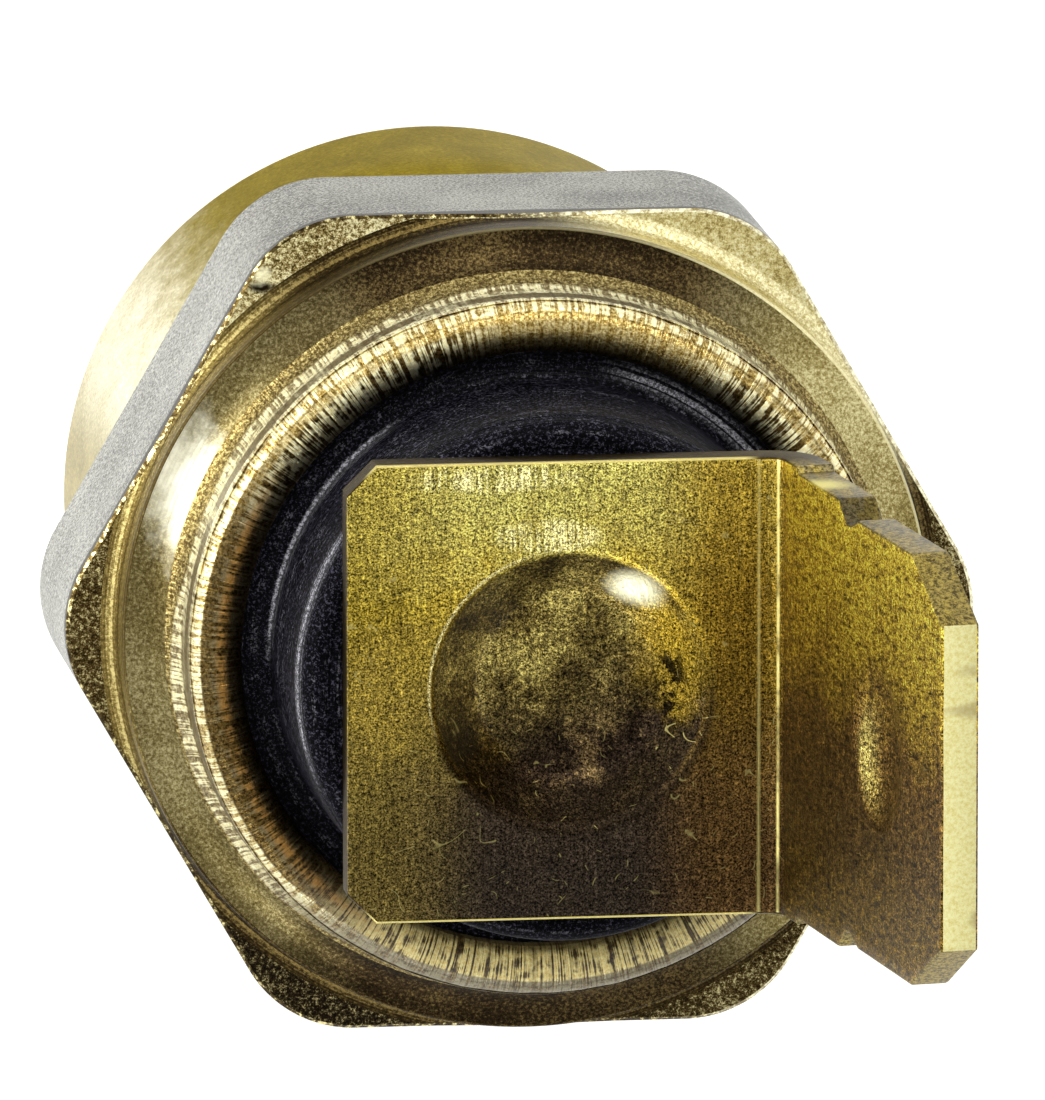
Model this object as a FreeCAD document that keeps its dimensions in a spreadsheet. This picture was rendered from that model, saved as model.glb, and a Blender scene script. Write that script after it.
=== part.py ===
"""Coolant temperature sender: a turned brass body with a blade terminal on an insulator.

Millimetres, +Z up along the axis towards the terminal. The origin is on the axis, in the plane
of the barrel's lower shoulder, where the sender seats once its thread is screwed home.
"""
import FreeCAD, Part
import math
import os
import Sketcher
from FreeCAD import Vector

DRIVING_SIZES = {
    # Shank: thread, the barrel above it and the sensing bulb below it.
    "thread_diameter": 12.7,
    "thread_length": 7.2,
    "thread_chamfer": 0.7,
    "barrel_shoulder": 1.59,
    "barrel_length": 11.2,
    "barrel_chamfer": 0.4,
    "bulb_diameter": 9.5,
    "bulb_length": 7.1,
    "bulb_nose_radius": 1.2,
    "bulb_wall": 0.75,
    "bulb_floor": 1.0,
    # Hexagon with rounded corners, whose ends are broken by turning.
    "hex_shoulder": 0.79,
    "hex_height": 5.0,
    "hex_corner_radius": 2.6,
    "hex_corner_cut": 0.36,
    "hex_edge_break": 0.12,
    # Collar, cove and rolled lip on top of the hexagon.
    "collar_inset": 0.13,
    "collar_height": 1.0,
    "collar_foot": 0.35,
    "collar_step": 0.06,
    "cove_width": 1.09,
    "cove_height": 1.0,
    "cove_radius": 1.2,
    "lip_wall": 0.55,
    "lip_overlap": 0.55,
    "lip_thickness": 0.6,
    "lip_roll_radius": 0.55,
    "lip_mouth_drop": 0.24,
    "lip_mouth_roll_radius": 0.75,
    # Bores and seats inside the body.
    "ring_seat_height": 0.7,
    "ring_seat_width": 0.95,
    "rivet_room": 2.7,
    # Insulator.
    "flange_thickness": 1.3,
    "plug_length": 5.6,
    "boss_groove_width": 0.65,
    "boss_draft": 0.15,
    "boss_height": 4.2,
    "boss_edge_radius": 0.45,
    # Sealing ring.
    "ring_thickness": 1.0,
    # Terminal: one folded strip.
    "sheet_thickness": 0.8,
    "plate_width": 9.7,
    "plate_reach": 4.7,
    "plate_corner_cut": 0.62,
    "bend_offset": 4.4,
    "bend_radius": 0.4,
    "blade_lean": 8.2,
    "blade_height": 11.5,
    "root_start": 1.2,
    "root_inset": 0.13,
    "root_height": 4.2,
    "blade_width": 9.0,
    "tip_cut_width": 1.12,
    "tip_cut_height": 2.1,
    "notch_depth": 0.2,
    "notch_length": 0.3,
    "notch_slope": 0.55,
    "dimple_height": 7.0,
    "dimple_diameter": 3.5,
    "dimple_depth": 0.35,
    "dish_diameter": 5.9,
    "dish_slope_width": 1.05,
    "dish_slope_radius": 2.95,
    "dish_depth": 0.9,
    # Contact stud, riveted through the insulator.
    "stud_diameter": 3.0,
    "stud_head_inset": 0.1,
    "stud_head_thickness": 0.7,
    "stud_tail_height": 0.5,
    # Spring seat washer, spring and contact cap.
    "washer_thickness": 0.6,
    "washer_rim": 0.35,
    "spring_wire": 0.6,
    "spring_turns": 9.0,
    "cap_thickness": 0.4,
    "cap_pilot_height": 0.9,
    # Sensing pellet and insulating sleeve in the bulb.
    "pellet_thickness": 2.0,
    "sleeve_wall": 0.45,
    "sleeve_rise": 0.9,
    # Clearances between pieces.
    "flange_clearance": 0.05,
    "plug_clearance": 0.1,
    "stud_clearance": 0.05,
    "dish_clearance": 0.15,
    "sleeve_clearance": 0.05,
    "pellet_clearance": 0.1,
    "spring_side_clearance": 0.4,
    "spring_pilot_clearance": 0.25,
    "spring_end_clearance": 0.03,
}

# Radii of the body, each an expression on the sheet.
THREAD_RADIUS = "(Sizes.thread_diameter / 2)"
BARREL_RADIUS = f"({THREAD_RADIUS} + Sizes.barrel_shoulder)"
BULB_RADIUS = "(Sizes.bulb_diameter / 2)"
BULB_BORE_RADIUS = f"({BULB_RADIUS} - Sizes.bulb_wall)"
HEX_FLAT_RADIUS = f"({BARREL_RADIUS} + Sizes.hex_shoulder)"
HEX_SHARP_RADIUS = f"({HEX_FLAT_RADIUS} / cos(30))"
HEX_CORNER_RADIUS = f"({HEX_SHARP_RADIUS} - Sizes.hex_corner_cut)"
COLLAR_RADIUS = f"({HEX_FLAT_RADIUS} - Sizes.collar_inset)"
COLLAR_TOP_RADIUS = f"({COLLAR_RADIUS} - Sizes.collar_step)"
LIP_RADIUS = f"({COLLAR_TOP_RADIUS} - Sizes.cove_width)"
LIP_CREST_RADIUS = f"({LIP_RADIUS} - Sizes.lip_roll_radius)"
FLANGE_BORE_RADIUS = f"({LIP_RADIUS} - Sizes.lip_wall)"
LIP_MOUTH_RADIUS = f"({FLANGE_BORE_RADIUS} - Sizes.lip_overlap)"
PLUG_BORE_RADIUS = f"({FLANGE_BORE_RADIUS} - Sizes.ring_seat_width)"

# Radii of the pieces that fit the body or each other.
FLANGE_RADIUS = f"({FLANGE_BORE_RADIUS} - Sizes.flange_clearance)"
PLUG_RADIUS = f"({PLUG_BORE_RADIUS} - Sizes.plug_clearance)"
BOSS_BASE_RADIUS = f"({LIP_MOUTH_RADIUS} - Sizes.boss_groove_width)"
BOSS_TOP_RADIUS = f"({BOSS_BASE_RADIUS} - Sizes.boss_draft)"
DISH_RADIUS = "(Sizes.dish_diameter / 2)"
DISH_FLOOR_RADIUS = f"({DISH_RADIUS} - Sizes.dish_slope_width)"
DISH_OUTER_RADIUS = f"({DISH_RADIUS} + Sizes.sheet_thickness / 2)"
DISH_FLOOR_OUTER_RADIUS = f"({DISH_FLOOR_RADIUS} + Sizes.sheet_thickness / 2)"
DISH_BORE_RADIUS = f"({DISH_OUTER_RADIUS} + Sizes.dish_clearance)"
STUD_RADIUS = "(Sizes.stud_diameter / 2)"
STUD_BORE_RADIUS = f"({STUD_RADIUS} + Sizes.stud_clearance)"
STUD_HEAD_RADIUS = f"({DISH_FLOOR_OUTER_RADIUS} - Sizes.stud_head_inset)"
STUD_HEAD_BORE_RADIUS = f"({STUD_HEAD_RADIUS} + Sizes.stud_clearance)"
SLEEVE_OUTER_RADIUS = f"({BULB_BORE_RADIUS} - Sizes.sleeve_clearance)"
SLEEVE_INNER_RADIUS = f"({SLEEVE_OUTER_RADIUS} - Sizes.sleeve_wall)"
PELLET_RADIUS = f"({SLEEVE_INNER_RADIUS} - Sizes.pellet_clearance)"
SPRING_OUTER_RADIUS = f"({SLEEVE_INNER_RADIUS} - Sizes.spring_side_clearance)"
SPRING_INNER_RADIUS = f"({SPRING_OUTER_RADIUS} - Sizes.spring_wire)"
SPRING_PILOT_RADIUS = f"({SPRING_INNER_RADIUS} - Sizes.spring_pilot_clearance)"
WASHER_RADIUS = f"({SPRING_OUTER_RADIUS} + Sizes.washer_rim)"

# Heights along the axis, from the seat upwards.
HEX_BOTTOM = "Sizes.barrel_length"
HEX_TOP = f"({HEX_BOTTOM} + Sizes.hex_height)"
COLLAR_TOP = f"({HEX_TOP} + Sizes.collar_height)"
COVE_TOP = f"({COLLAR_TOP} + Sizes.cove_height)"
RING_SEAT = f"({HEX_TOP} + Sizes.ring_seat_height)"
FLANGE_BOTTOM = f"({RING_SEAT} + Sizes.ring_thickness)"
FLANGE_TOP = f"({FLANGE_BOTTOM} + Sizes.flange_thickness)"
LIP_TOP = f"({FLANGE_TOP} + Sizes.lip_thickness)"
BOSS_TOP = f"({FLANGE_TOP} + Sizes.boss_height)"
PLATE_TOP = f"({BOSS_TOP} + Sizes.sheet_thickness)"
BLADE_TIP = f"({PLATE_TOP} + Sizes.blade_height)"
DISH_FLOOR = f"({PLATE_TOP} - Sizes.dish_depth)"
DISH_UNDERSIDE = f"({BOSS_TOP} - Sizes.dish_depth)"
STUD_HEAD_BOTTOM = f"({DISH_UNDERSIDE} - Sizes.stud_head_thickness)"
PLUG_BOTTOM = f"({FLANGE_BOTTOM} - Sizes.plug_length)"
WASHER_BOTTOM = f"({PLUG_BOTTOM} - Sizes.washer_thickness)"
STUD_TAIL_BOTTOM = f"({WASHER_BOTTOM} - Sizes.stud_tail_height)"
PLUG_BORE_FLOOR = f"({STUD_TAIL_BOTTOM} - Sizes.rivet_room)"
SLEEVE_TOP = f"({PLUG_BORE_FLOOR} + Sizes.sleeve_rise)"

# Heights along the axis, from the seat downwards and up again inside the bulb.
THREAD_END = "(-Sizes.thread_length)"
BULB_END = f"({THREAD_END} - Sizes.bulb_length)"
PELLET_BOTTOM = f"({BULB_END} + Sizes.bulb_floor)"
PELLET_TOP = f"({PELLET_BOTTOM} + Sizes.pellet_thickness)"
CAP_TOP = f"({PELLET_TOP} + Sizes.cap_thickness)"

# How a sketch numbers an edge's points, and the edge that stands for its origin.
START_POINT, END_POINT, CENTRE_POINT = range(1, 4)
ORIGIN = -1
POINT_TOLERANCE = 1e-6

# Side of its way that an arc bulges to.
LEFT, RIGHT = 1, -1


def make_sheet():
    """Spreadsheet with one row for each driving size: its name and its value."""
    sheet = document.addObject("Spreadsheet::Sheet", "Sizes")
    for row, (name, value) in enumerate(DRIVING_SIZES.items(), start=1):
        sheet.set(f"A{row}", name)
        sheet.set(f"B{row}", str(value))
        sheet.setAlias(f"B{row}", name)
    document.recompute()
    return sheet


def measure(expression):
    """Present value of an expression on the sheet."""
    return float(sizes.evalExpression(expression))


def make_body(label):
    body = document.addObject("PartDesign::Body", label)
    body.Label = label
    return body


def make_sketch(body, name, plane, height=None):
    """Sketch on one of the body's own origin planes, lifted off it by an expression."""
    support = next(item for item in body.Origin.OriginFeatures if item.Role == plane)
    sketch = body.newObject("Sketcher::SketchObject", name)
    sketch.AttachmentSupport = [(support, "")]
    sketch.MapMode = "FlatFace"
    if height:
        sketch.setExpression("AttachmentOffset.Base.z", height)
    return sketch


def bind_point(sketch, edge, point, place):
    """Holds a point of an edge at a place given by two expressions."""
    for kind, expression in zip(("DistanceX", "DistanceY"), place):
        value = measure(expression)
        constraint = Sketcher.Constraint(kind, ORIGIN, START_POINT, edge, point, value)
        index = sketch.addConstraint(constraint)
        sketch.setExpression(f"Constraints[{index}]", expression)


def bind_radius(sketch, edge, expression):
    """Holds the radius of an arc or a circle."""
    index = sketch.addConstraint(Sketcher.Constraint("Radius", edge, measure(expression)))
    sketch.setExpression(f"Constraints[{index}]", expression)


def bulged_arc(start, end, radius, side):
    """Arc between two points that bulges to the left or the right of the way."""
    chord = end - start
    half_chord = chord.Length / 2
    across = Vector(-chord.y, chord.x, 0) / chord.Length * side
    rise = radius - math.sqrt(radius ** 2 - half_chord ** 2)
    return Part.Arc(start, (start + end) / 2 + across * rise, end)


def add_outline(sketch, corners, arcs=None):
    """Closed outline through corners, each a pair of expressions.

    arcs maps the number of a side to the expression of its radius and the side it bulges to.
    """
    arcs = arcs or {}
    points = [Vector(measure(across), measure(along), 0) for across, along in corners]
    ends = []
    for side, start in enumerate(points):
        end = points[(side + 1) % len(points)]
        if side in arcs:
            radius, bulge = arcs[side]
            edge = sketch.addGeometry(bulged_arc(start, end, measure(radius), bulge))
            bind_radius(sketch, edge, radius)
        else:
            edge = sketch.addGeometry(Part.LineSegment(start, end))
        kept_way = sketch.getPoint(edge, START_POINT).isEqual(start, POINT_TOLERANCE)
        ends.append((edge, START_POINT, END_POINT) if kept_way else (edge, END_POINT, START_POINT))
    for side, (edge, first, last) in enumerate(ends):
        next_edge, next_first, _ = ends[(side + 1) % len(ends)]
        sketch.addConstraint(Sketcher.Constraint("Coincident", edge, last, next_edge, next_first))
        bind_point(sketch, edge, first, corners[side])


def add_circle(sketch, radius, centre=("0", "0")):
    circle = Part.Circle(Vector(*map(measure, centre), 0), Vector(0, 0, 1), measure(radius))
    edge = sketch.addGeometry(circle)
    bind_point(sketch, edge, CENTRE_POINT, centre)
    bind_radius(sketch, edge, radius)


def turn(body, name, corners, arcs=None, cut=False):
    """Turns an outline of radius and height about the axis, as material or as a cut."""
    sketch = make_sketch(body, f"{name}_outline", "XZ_Plane")
    add_outline(sketch, corners, arcs)
    feature = body.newObject("PartDesign::Groove" if cut else "PartDesign::Revolution", name)
    feature.Profile = sketch
    feature.ReferenceAxis = (sketch, ["V_Axis"])
    feature.Angle = 360
    document.recompute()


def cut_sketch(body, name, sketch, depth=None):
    """Cuts a sketch down from its plane by a depth, or right through both ways."""
    volume_before = body.Shape.Volume
    pocket = body.newObject("PartDesign::Pocket", name)
    pocket.Profile = sketch
    if depth:
        pocket.Type = "Length"
        pocket.setExpression("Length", depth)
    else:
        pocket.Type = "ThroughAll"
        pocket.SideType = "Symmetric"
    document.recompute()
    if body.Shape.Volume >= volume_before:
        raise ValueError(f"{name} cuts nothing")


def make_ring(label, outer_radius, inner_radius, bottom, thickness):
    """Flat washer or tube about the axis, padded up from its bottom."""
    body = make_body(label)
    sketch = make_sketch(body, f"{label}_outline", "XY_Plane", bottom)
    add_circle(sketch, outer_radius)
    add_circle(sketch, inner_radius)
    pad = body.newObject("PartDesign::Pad", f"{label}_pad")
    pad.Profile = sketch
    pad.setExpression("Length", thickness)
    document.recompute()
    return body


def turn_outside(body):
    """Bar turned round the hexagon, with the collar and lip above and the shank below."""
    corners = [
        ("0", BULB_END),
        (f"{BULB_RADIUS} - Sizes.bulb_nose_radius", BULB_END),
        (BULB_RADIUS, f"{BULB_END} + Sizes.bulb_nose_radius"),
        (BULB_RADIUS, THREAD_END),
        (f"{THREAD_RADIUS} - Sizes.thread_chamfer", THREAD_END),
        (THREAD_RADIUS, f"{THREAD_END} + Sizes.thread_chamfer"),
        (THREAD_RADIUS, "0"),
        (f"{BARREL_RADIUS} - Sizes.barrel_chamfer", "0"),
        (BARREL_RADIUS, "Sizes.barrel_chamfer"),
        (BARREL_RADIUS, HEX_BOTTOM),
        (f"{HEX_CORNER_RADIUS} - Sizes.hex_edge_break", HEX_BOTTOM),
        (HEX_CORNER_RADIUS, f"{HEX_BOTTOM} + Sizes.hex_edge_break"),
        (HEX_CORNER_RADIUS, f"{HEX_TOP} - Sizes.hex_edge_break"),
        (f"{HEX_CORNER_RADIUS} - Sizes.hex_edge_break", HEX_TOP),
        (f"{COLLAR_RADIUS} + Sizes.collar_foot", HEX_TOP),
        (COLLAR_RADIUS, f"{HEX_TOP} + Sizes.collar_foot"),
        (COLLAR_RADIUS, COLLAR_TOP),
        (COLLAR_TOP_RADIUS, COLLAR_TOP),
        (LIP_RADIUS, COVE_TOP),
        (LIP_RADIUS, f"{LIP_TOP} - Sizes.lip_roll_radius"),
        (LIP_CREST_RADIUS, LIP_TOP),
        ("0", LIP_TOP),
    ]
    bulb_nose, collar_foot, cove, lip_roll = 1, 14, 17, 19
    turn(body, "turned_bar", corners, {
        bulb_nose: ("Sizes.bulb_nose_radius", RIGHT),
        collar_foot: ("Sizes.collar_foot", LEFT),
        cove: ("Sizes.cove_radius", LEFT),
        lip_roll: ("Sizes.lip_roll_radius", RIGHT),
    })


def mill_hexagon(body):
    """Six flats and rounded corners over the height of the hexagon and the collar's foot."""
    half_round = "(Sizes.hex_corner_radius / 2)"
    along = f"({HEX_SHARP_RADIUS} - {half_round} * tan(30))"
    corners = []
    for corner in range(6):
        cosine, sine = f"cos({60 * corner})", f"sin({60 * corner})"
        for side in (-1, 1):
            corners.append((
                f"{along} * {cosine} - ({side}) * {half_round} * {sine}",
                f"{along} * {sine} + ({side}) * {half_round} * {cosine}",
            ))
    rounds = {2 * corner: ("Sizes.hex_corner_radius", RIGHT) for corner in range(6)}
    sketch = make_sketch(body, "hexagon_outline", "XY_Plane", f"{HEX_TOP} + Sizes.collar_foot")
    add_outline(sketch, corners, rounds)
    add_circle(sketch, f"2 * {HEX_FLAT_RADIUS}")
    cut_sketch(body, "hexagon_flats", sketch, "Sizes.hex_height + Sizes.collar_foot")


def bore_inside(body):
    """Stepped bore: flange seat under the lip, plug bore and bulb bore, closed at the bulb."""
    mouth_roll = 8
    turn(body, "stepped_bore", [
        ("0", PELLET_BOTTOM),
        (BULB_BORE_RADIUS, PELLET_BOTTOM),
        (BULB_BORE_RADIUS, PLUG_BORE_FLOOR),
        (PLUG_BORE_RADIUS, PLUG_BORE_FLOOR),
        (PLUG_BORE_RADIUS, RING_SEAT),
        (FLANGE_BORE_RADIUS, RING_SEAT),
        (FLANGE_BORE_RADIUS, FLANGE_TOP),
        (LIP_MOUTH_RADIUS, FLANGE_TOP),
        (LIP_MOUTH_RADIUS, f"{LIP_TOP} - Sizes.lip_mouth_drop"),
        (LIP_CREST_RADIUS, LIP_TOP),
        ("0", LIP_TOP),
    ], {mouth_roll: ("Sizes.lip_mouth_roll_radius", LEFT)}, cut=True)


def make_sender_body():
    """Brass body in one piece, its lip rolled over the insulator's flange."""
    body = make_body("body")
    turn_outside(body)
    mill_hexagon(body)
    bore_inside(body)
    return body


def make_insulator():
    """Moulded plug: a flange held by the rolled lip, with a boss above and a plug below."""
    body = make_body("insulator")
    corners = [
        (STUD_BORE_RADIUS, PLUG_BOTTOM),
        (PLUG_RADIUS, PLUG_BOTTOM),
        (PLUG_RADIUS, FLANGE_BOTTOM),
        (FLANGE_RADIUS, FLANGE_BOTTOM),
        (FLANGE_RADIUS, FLANGE_TOP),
        (BOSS_BASE_RADIUS, FLANGE_TOP),
        (BOSS_TOP_RADIUS, f"{BOSS_TOP} - Sizes.boss_edge_radius"),
        (f"{BOSS_TOP_RADIUS} - Sizes.boss_edge_radius", BOSS_TOP),
        (DISH_BORE_RADIUS, BOSS_TOP),
        (DISH_BORE_RADIUS, DISH_UNDERSIDE),
        (STUD_HEAD_BORE_RADIUS, DISH_UNDERSIDE),
        (STUD_HEAD_BORE_RADIUS, STUD_HEAD_BOTTOM),
        (STUD_BORE_RADIUS, STUD_HEAD_BOTTOM),
    ]
    boss_edge = 6
    turn(body, "moulding", corners, {boss_edge: ("Sizes.boss_edge_radius", RIGHT)})
    return body


def make_sealing_ring():
    """Rubber ring squeezed between the insulator's flange and the body's shoulder."""
    return make_ring(
        "sealing_ring", FLANGE_RADIUS, PLUG_BORE_RADIUS, RING_SEAT, "Sizes.ring_thickness")


def fold_strip(body):
    """Plate, bend and leaning blade as one strip, padded across its width."""
    tangent = "Sizes.bend_radius * tan(45 - Sizes.blade_lean / 2)"
    bend_start_x = f"Sizes.bend_offset - {tangent}"
    bend_end_x = f"Sizes.bend_offset + {tangent} * sin(Sizes.blade_lean)"
    bend_end_z = f"{PLATE_TOP} + {tangent} * cos(Sizes.blade_lean)"
    tip_x = "Sizes.bend_offset + Sizes.blade_height * tan(Sizes.blade_lean)"
    across_x = "Sizes.sheet_thickness * cos(Sizes.blade_lean)"
    across_z = "Sizes.sheet_thickness * sin(Sizes.blade_lean)"
    sketch = make_sketch(body, "strip_outline", "XZ_Plane")
    corners = [
        ("-Sizes.plate_reach", BOSS_TOP),
        (bend_start_x, BOSS_TOP),
        (f"{bend_end_x} + {across_x}", f"{bend_end_z} - {across_z}"),
        (f"{tip_x} + {across_x}", f"{BLADE_TIP} - {across_z}"),
        (tip_x, BLADE_TIP),
        (bend_end_x, bend_end_z),
        (bend_start_x, PLATE_TOP),
        ("-Sizes.plate_reach", PLATE_TOP),
    ]
    outer_bend, inner_bend = 1, 5
    add_outline(sketch, corners, {
        outer_bend: ("Sizes.bend_radius + Sizes.sheet_thickness", RIGHT),
        inner_bend: ("Sizes.bend_radius", LEFT),
    })
    strip = body.newObject("PartDesign::Pad", "folded_strip")
    strip.Profile = sketch
    strip.SideType = "Symmetric"
    strip.setExpression("Length", "Sizes.plate_width")
    document.recompute()


def trim_blade(body):
    """Narrows the blade above its wider root, notches its edges and cuts its tip's corners."""
    root_half = "(Sizes.plate_width / 2 - Sizes.root_inset)"
    half = "(Sizes.blade_width / 2)"
    waist = f"({half} - Sizes.notch_depth)"
    root_start = f"{PLATE_TOP} + Sizes.root_start"
    root_end = f"{PLATE_TOP} + Sizes.root_height"
    notch_start = f"{root_end} + Sizes.notch_slope"
    notch_end = f"{notch_start} + Sizes.notch_length"
    sketch = make_sketch(body, "blade_outline", "YZ_Plane")
    for sign in ("", "-"):
        add_outline(sketch, [
            (f"{sign}Sizes.plate_width", root_start),
            (f"{sign}{root_half}", root_start),
            (f"{sign}{root_half}", root_end),
            (f"{sign}{waist}", notch_start),
            (f"{sign}{waist}", notch_end),
            (f"{sign}{half}", f"{notch_end} + Sizes.notch_slope"),
            (f"{sign}{half}", f"{BLADE_TIP} - Sizes.tip_cut_height"),
            (f"{sign}({half} - Sizes.tip_cut_width)", BLADE_TIP),
            (f"{sign}Sizes.plate_width", BLADE_TIP),
        ])
    cut_sketch(body, "blade_edges", sketch)


def trim_plate(body):
    """Cuts the two free corners of the plate."""
    sketch = make_sketch(body, "plate_corners", "XY_Plane", PLATE_TOP)
    for sign in ("", "-"):
        add_outline(sketch, [
            ("-Sizes.plate_reach", f"{sign}Sizes.plate_width / 2"),
            ("-Sizes.plate_reach + Sizes.plate_corner_cut", f"{sign}Sizes.plate_width / 2"),
            ("-Sizes.plate_reach", f"{sign}(Sizes.plate_width / 2 - Sizes.plate_corner_cut)"),
        ])
    cut_sketch(body, "plate_corner_cuts", sketch, "Sizes.sheet_thickness")


def press_dish(body):
    """Round dish pressed down into the insulator's recess."""
    turn(body, "dish_underside", [
        ("0", DISH_UNDERSIDE),
        (DISH_FLOOR_OUTER_RADIUS, DISH_UNDERSIDE),
        (DISH_OUTER_RADIUS, BOSS_TOP),
        ("0", BOSS_TOP),
    ])
    slope = 1
    turn(body, "dish_hollow", [
        ("0", DISH_FLOOR),
        (DISH_FLOOR_RADIUS, DISH_FLOOR),
        (DISH_RADIUS, PLATE_TOP),
        ("0", PLATE_TOP),
    ], {slope: ("Sizes.dish_slope_radius", RIGHT)}, cut=True)


def press_dimple(body):
    """Shallow round dimple in the blade's inner face, for a connector's detent."""
    volume_before = body.Shape.Volume
    dimple = body.newObject("PartDesign::SubtractiveSphere", "dimple")
    half_width = "Sizes.dimple_diameter / 2"
    depth = "Sizes.dimple_depth"
    radius = f"(({half_width}) ^ 2 + {depth} ^ 2) / (2 * {depth})"
    stand_off = f"({radius} - {depth})"
    face_x = "Sizes.bend_offset + Sizes.dimple_height * tan(Sizes.blade_lean)"
    face_z = f"{PLATE_TOP} + Sizes.dimple_height"
    dimple.setExpression("Radius", radius)
    dimple.setExpression("Placement.Base.x", f"{face_x} - {stand_off} * cos(Sizes.blade_lean)")
    dimple.setExpression("Placement.Base.z", f"{face_z} + {stand_off} * sin(Sizes.blade_lean)")
    document.recompute()
    if body.Shape.Volume >= volume_before:
        raise ValueError("the dimple cuts nothing")


def make_terminal():
    """Blade terminal folded from one strip of brass."""
    body = make_body("terminal")
    fold_strip(body)
    trim_blade(body)
    trim_plate(body)
    press_dish(body)
    press_dimple(body)
    return body


def make_contact_stud():
    """Rivet from the dish's underside to the spring's upper seat."""
    body = make_body("contact_stud")
    turn(body, "rivet", [
        ("0", STUD_TAIL_BOTTOM),
        (SPRING_PILOT_RADIUS, STUD_TAIL_BOTTOM),
        (SPRING_PILOT_RADIUS, WASHER_BOTTOM),
        (STUD_RADIUS, WASHER_BOTTOM),
        (STUD_RADIUS, STUD_HEAD_BOTTOM),
        (STUD_HEAD_RADIUS, STUD_HEAD_BOTTOM),
        (STUD_HEAD_RADIUS, DISH_UNDERSIDE),
        ("0", DISH_UNDERSIDE),
    ])
    return body


def make_spring_washer():
    """Brass washer under the insulator, held by the rivet's tail: the spring's upper seat."""
    return make_ring(
        "spring_seat_washer", WASHER_RADIUS, STUD_BORE_RADIUS, WASHER_BOTTOM,
        "Sizes.washer_thickness")


def make_contact_cap():
    """Brass cap on the pellet, with a pilot that centres the spring."""
    pilot_top = f"{CAP_TOP} + Sizes.cap_pilot_height"
    body = make_body("contact_cap")
    turn(body, "cap", [
        ("0", PELLET_TOP),
        (PELLET_RADIUS, PELLET_TOP),
        (PELLET_RADIUS, CAP_TOP),
        (SPRING_PILOT_RADIUS, CAP_TOP),
        (SPRING_PILOT_RADIUS, pilot_top),
        ("0", pilot_top),
    ])
    return body


def make_spring():
    """Round wire coiled between the cap and the washer."""
    body = make_body("contact_spring")
    wire_radius = "(Sizes.spring_wire / 2)"
    coil_radius = f"({SPRING_OUTER_RADIUS} - {wire_radius})"
    lowest = f"({CAP_TOP} + {wire_radius} + Sizes.spring_end_clearance)"
    highest = f"({WASHER_BOTTOM} - {wire_radius} - Sizes.spring_end_clearance)"
    sketch = make_sketch(body, "wire_section", "XZ_Plane")
    add_circle(sketch, wire_radius, (coil_radius, lowest))
    coil = body.newObject("PartDesign::AdditiveHelix", "coil")
    coil.Profile = sketch
    coil.ReferenceAxis = (sketch, ["V_Axis"])
    coil.Mode = "height-turns-angle"
    coil.Angle = 0
    coil.setExpression("Height", f"{highest} - {lowest}")
    coil.setExpression("Turns", "Sizes.spring_turns")
    document.recompute()
    return body


def make_pellet():
    """Sensing pellet on the floor of the bulb."""
    pellet = document.addObject("Part::Cylinder", "sensing_pellet")
    pellet.Label = "sensing_pellet"
    pellet.setExpression("Radius", PELLET_RADIUS)
    pellet.setExpression("Height", "Sizes.pellet_thickness")
    pellet.setExpression("Placement.Base.z", PELLET_BOTTOM)
    document.recompute()
    return pellet


def make_sleeve():
    """Insulating tube that keeps the spring off the bulb's wall."""
    return make_ring(
        "insulating_sleeve", SLEEVE_OUTER_RADIUS, SLEEVE_INNER_RADIUS, PELLET_BOTTOM,
        f"{SLEEVE_TOP} - {PELLET_BOTTOM}")


def check_document():
    """Stops where a feature failed or a piece is not one closed, valid solid."""
    for item in document.Objects:
        if "Invalid" in item.State or "Error" in item.State:
            raise ValueError(f"{item.Label} failed: {item.State}")
    for piece in pieces:
        shape = piece.Shape
        if shape.isNull() or not shape.isValid() or len(shape.Solids) != 1:
            raise ValueError(f"{piece.Label} is not one valid solid")


def write_pieces():
    os.makedirs("parts", exist_ok=True)
    for piece in pieces:
        piece.Shape.exportStep(f"parts/{piece.Label}.step")
        box = piece.Shape.BoundBox
        print(f"{piece.Label}: {piece.Shape.Volume:.2f} mm3, z {box.ZMin:.2f} to {box.ZMax:.2f}")


document = FreeCAD.newDocument("coolant_temperature_sender")
sizes = make_sheet()
pieces = [
    make_sender_body(),
    make_insulator(),
    make_sealing_ring(),
    make_terminal(),
    make_contact_stud(),
    make_spring_washer(),
    make_spring(),
    make_contact_cap(),
    make_pellet(),
    make_sleeve(),
]
document.recompute()
check_document()
write_pieces()
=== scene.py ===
"""Looks of the coolant temperature sender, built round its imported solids."""
import math

import bmesh
import bpy
from mathutils import Matrix, Vector, noise


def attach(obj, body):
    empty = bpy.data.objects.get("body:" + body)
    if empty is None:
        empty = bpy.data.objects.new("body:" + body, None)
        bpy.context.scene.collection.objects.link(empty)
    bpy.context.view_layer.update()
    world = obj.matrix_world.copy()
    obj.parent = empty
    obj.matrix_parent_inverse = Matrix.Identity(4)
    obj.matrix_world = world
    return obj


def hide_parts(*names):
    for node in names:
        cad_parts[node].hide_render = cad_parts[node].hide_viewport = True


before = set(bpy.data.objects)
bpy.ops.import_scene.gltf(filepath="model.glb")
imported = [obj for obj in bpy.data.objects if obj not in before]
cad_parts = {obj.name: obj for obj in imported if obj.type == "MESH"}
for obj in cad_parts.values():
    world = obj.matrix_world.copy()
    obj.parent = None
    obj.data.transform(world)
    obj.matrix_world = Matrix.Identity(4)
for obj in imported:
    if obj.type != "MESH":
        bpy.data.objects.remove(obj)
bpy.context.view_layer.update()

MM = 0.001

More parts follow.
